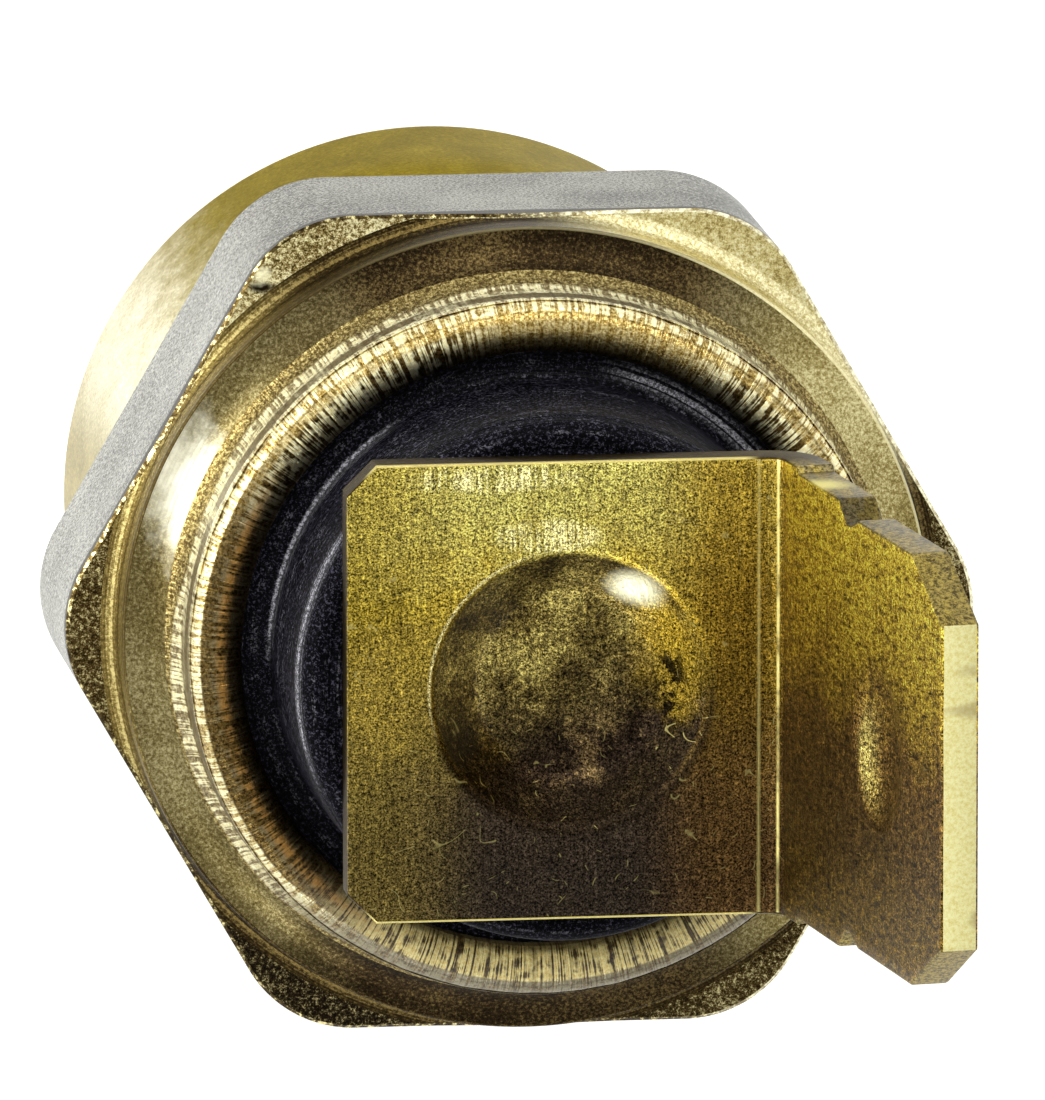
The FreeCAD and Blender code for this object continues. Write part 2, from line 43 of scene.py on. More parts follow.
# Sizes in millimetres, as the solids have them: heights on the axis, then radii and the rest.
BULB_END, BULB_FLOOR, THREAD_END, PLUG_BORE_FLOOR = -14.3, -13.3, -7.2, 8.5
HEX_BOTTOM, PLUG_BOTTOM, HEX_TOP, RING_SEAT = 11.2, 12.3, 16.2, 16.9
COLLAR_TOP, FLANGE_BOTTOM, COVE_TOP, FLANGE_TOP, LIP_TOP = 17.2, 17.9, 18.2, 19.2, 19.8
STUD_HEAD_BOTTOM, DISH_UNDERSIDE, BOSS_TOP, PLATE_TOP, BLADE_TIP = 21.8, 22.5, 23.4, 24.2, 35.7
BULB_RADIUS, THREAD_RADIUS, BARREL_RADIUS, BULB_NOSE = 4.75, 6.35, 7.94, 1.2
HEX_FLAT, HEX_ROUND, COLLAR_RADIUS, COVE_RADIUS = 8.73, 2.6, 8.6, 8.54
LIP_RADIUS, LIP_CREST, LIP_MOUTH = 7.45, 6.9, 6.35
LIP_ROLL, MOUTH_ROLL, COLLAR_FOOT, COVE_ARC = 0.55, 0.75, 0.35, 1.2
FLANGE_BORE, PLUG_BORE, BULB_BORE = 6.9, 5.95, 4.0
FLANGE_RADIUS, PLUG_RADIUS = 6.85, 5.85
DISH_BORE, STUD_HEAD_BORE, STUD_BORE = 3.5, 2.25, 1.55
SHEET_THICKNESS, PLATE_REACH, PLATE_HALF, PLATE_CUT = 0.8, 4.7, 4.85, 0.62
BEND_OFFSET, BEND_RADIUS, LEAN = 4.4, 0.4, math.radians(8.2)
DISH_RADIUS, DISH_SLOPE, DISH_DEPTH = 2.95, 1.05, 0.9
DIMPLE_HEIGHT, DIMPLE_RADIUS, DIMPLE_DEPTH = 7.0, 1.75, 0.35

# Sizes of what only the scene has: the thread's ridges, the hexagon's broken edge, and the
# circle of the lip on which its wrinkles are laid out.
PITCH, THREAD_ROOT, EDGE_BREAK, LIP_MIDDLE = 1.27, 5.62, 0.07, 7.1

# Points in a ring: where wrinkles show, where the hexagon does, and elsewhere.
FINE, MEDIUM, COARSE = 1440, 720, 360

# Zones of materials.
TOP, COVE, COLLAR, LIP, EDGE, HEX_SIDE, BARREL, SHANK, BORE = range(9)
SHEET, SIDE, TIP = range(3)


# Meshes

class Skin:
    """Closed surface built up in rings, each face in a numbered zone of materials."""

    def __init__(self):
        self.points = []
        self.faces = []
        self.zones = []

    def add(self, place):
        self.points.append(Vector(place) * MM)
        return len(self.points) - 1

    def face(self, zone, *corners):
        self.faces.append(corners)
        self.zones.append(zone)

    def ring(self, count, place):
        """Ring round the axis; place is a radius and height, or gives them for an angle."""
        ring = []
        for step in range(count):
            angle = math.tau * step / count
            radius, height = place(angle) if callable(place) else place
            ring.append(self.add((radius * math.cos(angle), radius * math.sin(angle), height)))
        return ring

    def band(self, zone, first, second):
        """Joins two rings, of which one may have twice the points of the other."""
        coarse, fine = sorted((first, second), key=len)
        for step, corner in enumerate(coarse):
            after = coarse[(step + 1) % len(coarse)]
            if len(coarse) == len(fine):
                self.face(zone, corner, after, fine[(step + 1) % len(fine)], fine[step])
            else:
                middle = fine[2 * step + 1]
                self.face(zone, corner, middle, fine[2 * step])
                self.face(zone, corner, after, middle)
                self.face(zone, after, fine[(2 * step + 2) % len(fine)], middle)

    def bands(self, zone, last, count, places):
        """Carries the surface on from a ring through more places; gives the last ring."""
        for place in places:
            ring = self.ring(count, place)
            self.band(zone, last, ring)
            last = ring
        return last

    def cap(self, zone, ring, height):
        centre = self.add((0, 0, height))
        for step, corner in enumerate(ring):
            self.face(zone, corner, ring[(step + 1) % len(ring)], centre)

    def make(self, name, node, materials, sharp=32):
        """Object from the surface, standing for a node of the solids."""
        mesh = bpy.data.meshes.new(name)
        mesh.from_pydata(self.points, [], self.faces)
        for material in materials:
            mesh.materials.append(material)
        mesh.polygons.foreach_set("material_index", self.zones)
        work = bmesh.new()
        work.from_mesh(mesh)
        bmesh.ops.recalc_face_normals(work, faces=work.faces)
        work.to_mesh(mesh)
        work.free()
        mesh.polygons.foreach_set("use_smooth", [True] * len(mesh.polygons))
        mesh.set_sharp_from_angle(angle=math.radians(sharp))
        piece = bpy.data.objects.new(name, mesh)
        bpy.context.collection.objects.link(piece)
        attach(piece, "root")
        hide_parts(node)
        return piece


def ripple(place, scale):
    """Smooth noise between -1 and 1 at a place."""
    return noise.noise(Vector(place) * scale)


def around(angle, shift=0.0):
    """Place on a circle of the lip's size, so that noise there runs in millimetres."""
    return Vector((LIP_MIDDLE * math.cos(angle), LIP_MIDDLE * math.sin(angle), shift))


def hexagon(angle, inset=0.0):
    """Radius of the hexagon with rounded corners at an angle."""
    sixth = math.radians(60)
    off_flat = abs(angle % sixth - sixth / 2)
    off_corner = sixth / 2 - off_flat
    centre = (HEX_FLAT - HEX_ROUND) / math.cos(sixth / 2)
    end = math.atan2(HEX_ROUND / 2, centre + HEX_ROUND * math.cos(sixth / 2))
    if off_corner > end:
        return HEX_FLAT / math.cos(off_flat) - inset
    reach = math.sqrt(HEX_ROUND ** 2 - (centre * math.sin(off_corner)) ** 2)
    return centre * math.cos(off_corner) + reach - inset


def lip_height(radius):
    """Height of the rolled lip's surface at a radius."""
    if radius >= LIP_CREST:
        return LIP_TOP - LIP_ROLL + math.sqrt(max(LIP_ROLL ** 2 - (radius - LIP_CREST) ** 2, 0))
    return LIP_TOP - MOUTH_ROLL + math.sqrt(MOUTH_ROLL ** 2 - (LIP_CREST - radius) ** 2)


def groove_radius(angle):
    """The rolling tool leaves a fine groove round the lip, near its outside."""
    wander = 0.02 * ripple(around(angle), 0.45) + 0.008 * ripple(around(angle), 3.1)
    return 7.41 + wander


def lip_place(share, sink=0.0):
    """Place on the lip: a share of 0 is at its mouth, 1 at the groove and 2 at its outside."""
    def place(angle):
        groove = groove_radius(angle)
        start = LIP_MOUTH + 0.01
        if share <= 1:
            radius = start + (groove - start) * share
        else:
            slope = math.acos(min((groove - LIP_CREST) / LIP_ROLL, 1))
            radius = LIP_CREST + LIP_ROLL * math.cos(slope * (2 - share))
        gathers = max(0, min(1, share * 4)) * max(0, min(1, (2 - share) * 2))
        fold = 0.009 * ripple(around(angle), 4.6) + 0.007 * ripple(around(angle, 9), 8.5)
        lump = 0.01 * ripple(around(angle, share * 1.3), 1.4)
        height = lip_height(radius) - sink * (1 + 0.8 * ripple(around(angle), 2.3))
        return radius, height + gathers * (fold + lump)
    return place


def cove_places(count):
    """Concave arc from the lip's foot down to the collar's edge."""
    start, end = Vector((LIP_RADIUS, COVE_TOP)), Vector((COVE_RADIUS, COLLAR_TOP))
    chord = end - start
    stand_off = math.sqrt(COVE_ARC ** 2 - (chord.length / 2) ** 2)
    centre = (start + end) / 2 + Vector((-chord.y, chord.x)).normalized() * stand_off
    first = math.atan2(*(start - centre).yx)
    last = math.atan2(*(end - centre).yx)
    for step in range(count + 1):
        angle = first + (last - first) * step / count
        yield centre.x + COVE_ARC * math.cos(angle), centre.y + COVE_ARC * math.sin(angle)


def foot_height(radius):
    """Height of the hexagon's top at a radius, with the rounded foot of the collar."""
    inward = COLLAR_RADIUS + COLLAR_FOOT - radius
    if inward <= 0:
        return HEX_TOP
    return HEX_TOP + COLLAR_FOOT - math.sqrt(max(COLLAR_FOOT ** 2 - inward ** 2, 0))


def foot_place(share):
    """Place on the rounded foot of the collar: 0 is on its wall and 1 at its end or the flat."""
    def place(angle):
        reach = min(COLLAR_FOOT, hexagon(angle, EDGE_BREAK * 1.2) - COLLAR_RADIUS)
        turn = share * math.acos(1 - reach / COLLAR_FOOT)
        radius = COLLAR_RADIUS + COLLAR_FOOT * (1 - math.cos(turn))
        return radius, HEX_TOP + COLLAR_FOOT * (1 - math.sin(turn))
    return place


def top_place(inset):
    """Place on the broken edge of the hexagon's top: its inner side has a full inset."""
    def place(angle):
        radius = hexagon(angle, inset)
        inner = foot_height(hexagon(angle, EDGE_BREAK))
        return radius, inner if inset else inner - EDGE_BREAK
    return place


def build_thread(skin, count=COARSE):
    """Right-handed thread between the shank's end and the seat; gives its end rings."""
    profile = ((0.0, 0), (0.12, 0), (0.28, 0.5), (0.44, 1), (0.56, 1), (0.72, 0.5), (0.88, 0))
    rows = len(profile) * (math.ceil(-THREAD_END / PITCH) + 1)
    found = {}

    def vertex(row, step):
        turns, part = divmod(row, len(profile))
        share, crest = profile[part]
        height = THREAD_END + PITCH * (turns + share - 1 + step / count)
        height = min(max(height, THREAD_END), 0.0)
        tapered = THREAD_ROOT - 0.02 + min(height - THREAD_END, -1.4 * height)
        radius = min(THREAD_ROOT + (THREAD_RADIUS - THREAD_ROOT) * crest, tapered)
        key = step % count, round(height, 5)
        if key not in found:
            angle = math.tau * step / count
            found[key] = skin.add((radius * math.cos(angle), radius * math.sin(angle), height))
        return found[key]

    for row in range(rows):
        for step in range(count):
            corners = [vertex(row, step), vertex(row, step + 1)]
            corners += [vertex(row + 1, step + 1), vertex(row + 1, step)]
            kept = list(dict.fromkeys(corners))
            if len(kept) > 2:
                skin.face(SHANK, *kept)
    low = [found[step, round(THREAD_END, 5)] for step in range(count)]
    high = [found[step, 0.0] for step in range(count)]
    return low, high


def build_body(materials):
    """Brass body: lip, cove, collar, hexagon, barrel, thread, bulb and the bore inside."""
    skin = Skin()
    mouth = skin.ring(FINE, (LIP_MOUTH, FLANGE_TOP))
    shares = (0, 0.03, 0.09, 0.17, 0.26, 0.35, 0.45, 0.55, 0.65, 0.74, 0.82, 0.89, 0.95)
    inner = [(LIP_MOUTH, 19.48)] + [lip_place(share) for share in shares]
    groove = [lip_place(share, sink) for share, sink in ((0.975, 0.04), (1.0, 0.08), (1.1, 0.07))]
    outer = [lip_place(share) for share in (1.2, 1.5, 2.0)]
    wall = [(LIP_RADIUS, height) for height in (19.0, 18.7, 18.4)]
    last = skin.bands(LIP, mouth, FINE, inner + groove + outer + wall)
    foot, *cove = cove_places(14)
    last = skin.bands(LIP, last, FINE, [foot] + cove[:6])
    last = skin.bands(COVE, last, FINE, cove[6:])
    collar = [
        (COVE_RADIUS + 0.02, COLLAR_TOP - 0.003), (COLLAR_RADIUS - 0.01, COLLAR_TOP - 0.03),
        (COLLAR_RADIUS, COLLAR_TOP - 0.07), (COLLAR_RADIUS, HEX_TOP + COLLAR_FOOT),
    ]
    last = skin.bands(COLLAR, last, FINE, collar)
    last = skin.bands(COLLAR, last, FINE, [foot_place(step / 4) for step in range(1, 5)])
    last = skin.bands(TOP, last, FINE, [top_place(EDGE_BREAK)])
    last = skin.bands(EDGE, last, MEDIUM, [top_place(0)])
    last = skin.bands(HEX_SIDE, last, MEDIUM, [
        lambda angle: (hexagon(angle), HEX_BOTTOM + EDGE_BREAK),
        lambda angle: (hexagon(angle, EDGE_BREAK), HEX_BOTTOM),
    ])
    last = skin.bands(BARREL, last, MEDIUM, [
        (BARREL_RADIUS + 0.05, HEX_BOTTOM), (BARREL_RADIUS, HEX_BOTTOM - 0.05),
        (BARREL_RADIUS, 6.0), (BARREL_RADIUS, 0.42), (7.9, 0.33), (7.56, 0.02), (7.5, 0.0),
    ])
    low, high = build_thread(skin)
    skin.band(BARREL, last, high)
    bulb = [(BULB_RADIUS, THREAD_END)]
    for turn in range(9):
        angle = math.radians(90 * turn / 8)
        radius = BULB_RADIUS - BULB_NOSE + BULB_NOSE * math.cos(angle)
        bulb.append((radius, BULB_END + BULB_NOSE - BULB_NOSE * math.sin(angle)))
    last = skin.bands(SHANK, low, COARSE, bulb)
    skin.cap(SHANK, last, BULB_END)
    last = skin.bands(BORE, mouth, MEDIUM, [(FLANGE_BORE, FLANGE_TOP)])
    last = skin.bands(BORE, last, COARSE, [
        (FLANGE_BORE, RING_SEAT), (PLUG_BORE, RING_SEAT), (PLUG_BORE, PLUG_BORE_FLOOR),
        (BULB_BORE, PLUG_BORE_FLOOR), (BULB_BORE, BULB_FLOOR),
    ])
    skin.cap(BORE, last, BULB_FLOOR)
    return skin.make("brass_body", "body", materials)


def build_insulator(materials):
    """Moulded plug with a flange under the lip and fine turned rings on its boss."""
    outline = [
        (STUD_BORE, PLUG_BOTTOM), (PLUG_RADIUS, PLUG_BOTTOM), (PLUG_RADIUS, FLANGE_BOTTOM),
        (FLANGE_RADIUS, FLANGE_BOTTOM), (FLANGE_RADIUS, FLANGE_TOP),
        (6.2, FLANGE_TOP), (5.82, FLANGE_TOP + 0.02), (5.7, FLANGE_TOP + 0.1),
        (5.68, 20.2), (5.65, 21.2), (5.62, 22.2), (5.585, 22.75), (5.56, 22.83), (5.555, 22.95),
    ]
    for step in range(1, 9):
        angle = math.radians(90 * step / 8)
        outline.append((5.1 + 0.45 * math.cos(angle), BOSS_TOP - 0.45 + 0.45 * math.sin(angle)))
    outline += [(5.02, BOSS_TOP - 0.03), (4.96, BOSS_TOP - 0.04), (4.9, BOSS_TOP - 0.01)]
    for step in range(16):
        outline.append((4.85 - 0.075 * step, BOSS_TOP - (0.01 if step % 3 else 0.0)))
    outline += [
        (DISH_BORE, BOSS_TOP), (DISH_BORE, DISH_UNDERSIDE), (STUD_HEAD_BORE, DISH_UNDERSIDE),
        (STUD_HEAD_BORE, STUD_HEAD_BOTTOM), (STUD_BORE, STUD_HEAD_BOTTOM),
    ]
    skin = Skin()
    rings = [skin.ring(COARSE, place) for place in outline]
    for first, second in zip(rings, rings[1:] + rings[:1]):
        skin.band(0, first, second)
    return skin.make("black_insulator", "insulator", materials)


class Strip:
    """Way along the folded strip's inner face: the plate, the bend and the leaning blade."""

    def __init__(self):
        tangent = BEND_RADIUS * math.tan((math.pi / 2 - LEAN) / 2)
        self.flat = PLATE_REACH + BEND_OFFSET - tangent
        self.bent = self.flat + BEND_RADIUS * (math.pi / 2 - LEAN)
        self.centre = Vector((BEND_OFFSET - tangent, 0, PLATE_TOP + BEND_RADIUS))
        self.foot = self.centre + Vector((math.cos(LEAN), 0, -math.sin(LEAN))) * BEND_RADIUS
        self.total = self.bent + (BLADE_TIP - self.foot.z) / math.cos(LEAN)

    def place(self, run):
        """Point and normal of the inner face after a run from the plate's end."""
        if run <= self.flat:
            return Vector((run - PLATE_REACH, 0, PLATE_TOP)), Vector((0, 0, 1))
        if run <= self.bent:
            turned = (run - self.flat) / BEND_RADIUS
            normal = Vector((-math.sin(turned), 0, math.cos(turned)))
            return self.centre - normal * BEND_RADIUS, normal
        normal = Vector((-math.cos(LEAN), 0, math.sin(LEAN)))
        along = Vector((math.sin(LEAN), 0, math.cos(LEAN)))
        return self.foot + along * (run - self.bent), normal

    def half_width(self, run):
        """Half the width: cut corners, wider root, notches and cut tip."""
        if run < PLATE_REACH:
            return PLATE_HALF - max(0, PLATE_CUT - run)
        outline = [
            (0.0, 4.85), (1.17, 4.85), (1.23, 4.72), (4.2, 4.72), (4.75, 4.3), (5.05, 4.3),
            (5.6, 4.5), (9.4, 4.5), (11.5, 3.38),
        ]
        rise = min(max(self.place(run)[0].z - PLATE_TOP, 0), 11.5)
        for (low, wide_low), (high, wide_high) in zip(outline, outline[1:]):
            if rise <= high:
                return wide_low + (wide_high - wide_low) * (rise - low) / (high - low)
        return outline[-1][1]


def dish_depth(radius):
    """Depth of the pressed dish, with its rim and the foot of its wall rounded."""
    def sharp(distance):
        share = max(0, min(1, (DISH_RADIUS - distance) / DISH_SLOPE))
        return DISH_DEPTH * share ** 0.85
    window = (-0.08, -0.04, 0, 0.04, 0.08)
    return sum(sharp(radius + shift) for shift in window) / len(window)


def build_terminal(materials):
    """One folded strip of brass sheet: plate with a dish, bend, and blade with a dimple."""
    strip = Strip()
    rounding, fine, step_size = 0.05, 3.2, 0.07
    runs = [0.0, 0.015, 0.05] + [0.12 + 0.1 * step for step in range(15)]
    runs += [1.6 + step_size * step for step in range(90)]
    last = runs[-1]
    runs += [last + (strip.flat - last) * step / 8 for step in range(1, 9)]
    runs += [strip.flat + (strip.bent - strip.flat) * step / 14 for step in range(1, 15)]
    blade = strip.total - strip.bent - rounding
    runs += [strip.bent + blade * step / 112 for step in range(1, 113)]
    runs += [strip.total - 0.015, strip.total]
    middle = [-fine + step_size * step for step in range(92)]
    skin = Skin()
    rings = []
    for run in runs:
        point, normal = strip.place(run)
        half = strip.half_width(run)
        end = min(run, strip.total - run)
        tuck = 0.0
        if end < rounding:
            tuck = rounding - math.sqrt(rounding ** 2 - (rounding - end) ** 2)
        side = [-half + rounding] + [-fine - (half - fine) * share for share in (0.75, 0.5, 0.25)]
        across = side + middle + [-y for y in reversed(side)]
        top, bottom = [], []
        for y in across:
            sink, drop = 0.0, 0.0
            if run < PLATE_REACH + 3.6:
                away = math.hypot(point.x, y)
                sink = dish_depth(away)
                drop = dish_depth(away - SHEET_THICKNESS / 2)
            elif run > strip.bent:
                rise = (point.z - PLATE_TOP - DIMPLE_HEIGHT) / math.cos(LEAN)
                away = math.hypot(rise, y) / DIMPLE_RADIUS
                sink = DIMPLE_DEPTH * max(0, 1 - away ** 2) ** 1.15
            wave = 0.007 * ripple((run, y, 0), 0.9) + 0.002 * ripple((run * 6, y, 4), 0.8)
            top.append(point - normal * (sink + tuck - wave) + Vector((0, y, 0)))
            bottom.append(point - normal * (SHEET_THICKNESS + drop - tuck) + Vector((0, y, 0)))
        right, left = [], []
        for out, down in ((0.015, 0.015), (0, rounding), (0, 0.4), (0, 0.75), (0.015, 0.785)):
            near, far = tuck + 0.004, SHEET_THICKNESS - tuck - 0.004
            depth = max(down, near) if down < 0.4 else min(down, far)
            right.append(point - normal * depth + Vector((0, half - out, 0)))
            left.append(point - normal * depth + Vector((0, out - half, 0)))
        rings.append([skin.add(place) for place in top + right + bottom[::-1] + left[::-1]])
    flats, size = len(across), len(rings[0])
    for first, second in zip(rings, rings[1:]):
        for step in range(size):
            after = (step + 1) % size
            on_side = flats - 1 <= step < flats + 5 or step >= 2 * flats + 4
            zone = SIDE if on_side else SHEET
            skin.face(zone, first[step], first[after], second[after], second[step])
    for zone, ring in ((SIDE, rings[0]), (TIP, rings[-1])):
        for step in range(flats - 1):
            mirror = 2 * flats + 4 - step
            skin.face(zone, ring[step], ring[step + 1], ring[mirror - 1], ring[mirror])
        skin.face(zone, *ring[flats - 1:flats + 6])
        skin.face(zone, ring[0], *ring[:2 * flats + 3:-1])
    return skin.make("folded_terminal", "terminal", materials)


# Materials

def tone(red, green, blue):
    """Linear colour of a display colour of 0 to 255."""
    shares = [value / 255 for value in (red, green, blue)]
    linear = [s / 12.92 if s <= 0.04045 else ((s + 0.055) / 1.055) ** 2.4 for s in shares]
    return (*linear, 1.0)


class Tree:
    """Node tree of a material or of the world."""

    def __init__(self, owner):
        owner.use_nodes = True
        self.nodes, self.links = owner.node_tree.nodes, owner.node_tree.links

    def node(self, kind, *inputs, **settings):
        """New node, whose inputs are values, other nodes' outputs or None for no change."""
        node = self.nodes.new(kind)
        for setting, value in settings.items():
            setattr(node, setting, value)
        for socket, value in zip(node.inputs, inputs):
            self.feed(socket, value)
        return node

    def feed(self, socket, value):
        if isinstance(value, bpy.types.NodeSocket):
            self.links.new(value, socket)
        elif value is not None:
            socket.default_value = value

    def vector(self, operation, *inputs):
        return self.node("ShaderNodeVectorMath", *inputs, operation=operation)

    def math(self, operation, first, *others):
        """Result of an operation, carried on through all the values."""
        for other in others or (None,):
            first = self.node("ShaderNodeMath", first, other, operation=operation).outputs[0]
        return first

    def times(self, *factors):
        return self.math("MULTIPLY", *factors)

    def plus(self, *terms):
        return self.math("ADD", *terms)

    def most(self, *values):
        return self.math("MAXIMUM", *values)

    def rest(self, share):
        """What is left of 1 beside a share."""
        return self.math("SUBTRACT", 1.0, share)

    def rise(self, value, low, high, start=0.0, end=1.0):
        """Smooth step of a value from start below low to end above high."""
        node = self.node("ShaderNodeMapRange", value, low, high, start, end)
        node.interpolation_type = "SMOOTHSTEP"
        return node.outputs["Result"]

    def sees_white(self):
        """1 on rays from the camera and on reflected rays, so that metal shows the backdrop."""
        ray = self.node("ShaderNodeLightPath").outputs
        return self.most(ray["Is Camera Ray"], ray["Is Glossy Ray"], ray["Is Transmission Ray"])


class Look(Tree):
    """Procedural material in the piece's own coordinates, in millimetres.

    place is the point itself, around its direction from the axis as a point on the lip's
    circle, and rings its radius and height. across and upward are the X and Y of the direction.
    """

    def __init__(self, name, metallic=1.0, roughness=0.35, specular=0.5):
        self.material = bpy.data.materials.new(name)
        super().__init__(self.material)
        self.shader = self.nodes["Principled BSDF"]
        self.shader.inputs["Metallic"].default_value = metallic
        self.shader.inputs["Roughness"].default_value = roughness
        self.shader.inputs["Specular IOR Level"].default_value = specular
        place = self.node("ShaderNodeTexCoord").outputs["Object"]
        self.place = self.scaled(place, (1000, 1000, 1000))
        split = self.node("ShaderNodeSeparateXYZ", self.place)
        self.x, self.y, self.z = split.outputs
        flat = self.scaled(self.place, (1, 1, 0))
        self.radius = self.vector("LENGTH", flat).outputs["Value"]
        way = self.vector("NORMALIZE", flat).outputs["Vector"]
        self.around = self.scaled(way, (LIP_MIDDLE, LIP_MIDDLE, LIP_MIDDLE))
        self.across, self.upward, _ = self.node("ShaderNodeSeparateXYZ", way).outputs
        self.rings = self.joined(self.radius, self.z, 0)

    def scaled(self, vector, factors):
        return self.vector("MULTIPLY", vector, factors).outputs["Vector"]

    def moved(self, vector, shift):
        return self.vector("ADD", vector, shift).outputs["Vector"]

    def joined(self, x, y, z):
        return self.node("ShaderNodeCombineXYZ", x, y, z).outputs[0]

    def swing(self, value, width=1.0):
        """Noise made to swing about 0 instead of a half, over a width."""
        return self.times(self.math("SUBTRACT", value, 0.5), width)

    def blend(self, first, second, share):
        """Sum of two values, the second with a share and the first with the rest."""
        return self.plus(self.times(first, 1 - share), self.times(second, share))

    def noise(self, vector, scale, detail=2.0, roughness=0.5):
        node = self.node("ShaderNodeTexNoise", vector)
        node.inputs["Scale"].default_value = scale
        node.inputs["Detail"].default_value = detail
        node.inputs["Roughness"].default_value = roughness
        return node.outputs["Fac"]

    def grain(self, scale, detail=2.0, roughness=0.5, stretch=None):
        """Noise at the place itself, finer along an axis that has the greater stretch."""
        place = self.scaled(self.place, stretch) if stretch else self.place
        return self.noise(place, scale, detail, roughness)

    def ramp(self, value, *stops):
        node = self.node("ShaderNodeValToRGB", value)
        elements = node.color_ramp.elements
        while len(elements) < len(stops):
            elements.new(0.5)
        for element, (place, colour) in zip(elements, stops):
            element.position = place
            element.color = tone(*colour)
        return node.outputs["Color"]

    def mix(self, share, first, second):
        node = self.node("ShaderNodeMix", data_type="RGBA")
        self.feed(node.inputs[0], share)
        self.feed(node.inputs[6], first)
        self.feed(node.inputs[7], second)
        return node.outputs[2]

    def stain_or_light(self, colour, share, over, strength=1.0):
        """Colour with another laid over it by a share, as a mark of dirt or wear, or as painted
        light or shade.
        """
        return self.mix(self.times(share, strength), colour, tone(*over))

    def grained(self, colour, grain, spread):
        """Colour made darker and lighter by a grain."""
        factor = self.node("ShaderNodeMapRange", grain, 0.3, 0.7, 1 - spread, 1 + spread)
        factor = factor.outputs["Result"]
        return self.scaled(colour, self.joined(factor, factor, factor))

    def near(self, place, size, soft=1.0, rough=0.0, scale=1.6):
        """1 at a place and 0 beyond its size, with an edge roughened by noise."""
        offset = self.vector("SUBTRACT", self.place, place).outputs["Vector"]
        offset = self.scaled(offset, tuple(1 / value for value in size))
        length = self.vector("LENGTH", offset).outputs["Value"]
        if rough:
            length = self.plus(length, self.swing(self.noise(self.place, scale, 3), rough))
        return self.rise(length, 1 - soft, 1.0, 1.0, 0.0)

    def line(self, value, place, width):
        """1 where a value is at a place, 0 beyond a width to either side."""
        away = self.math("ABSOLUTE", self.math("SUBTRACT", value, place))
        return self.rise(away, 0.0, width, 1.0, 0.0)

    def toward(self, x, y, low, high, start=0.0, end=1.0):
        """End value on the side of the axis that faces a direction, start value away from it."""
        share = self.plus(self.times(self.across, x), self.times(self.upward, y))
        return self.rise(share, low, high, start, end)

    def matt(self, share):
        """Takes a share of the metal's mirror away, where a dull or stained patch lies on it, or
        where painted light is to show.
        """
        self.feed(self.shader.inputs["Metallic"], self.rest(share))

    def hairs(self, scale, seed, width=0.006, share=0.6):
        """Short thin curved lines scattered over the surface."""
        place = self.moved(self.place, (seed, seed * 1.7, seed * 0.3))
        kept = self.rise(self.noise(place, scale * 1.7, 0), share, share + 0.05)
        return self.times(self.line(self.noise(place, scale, 0), 0.5, width), kept)

    def bump(self, height, depth):
        node = self.node("ShaderNodeBump")
        node.inputs["Distance"].default_value = depth * MM
        self.feed(node.inputs["Height"], height)
        self.feed(self.shader.inputs["Normal"], node.outputs["Normal"])

    def paint(self, colour, roughness=None):
        self.feed(self.shader.inputs["Base Color"], colour)
        if roughness is not None:
            self.feed(self.shader.inputs["Roughness"], roughness)
        return self.material


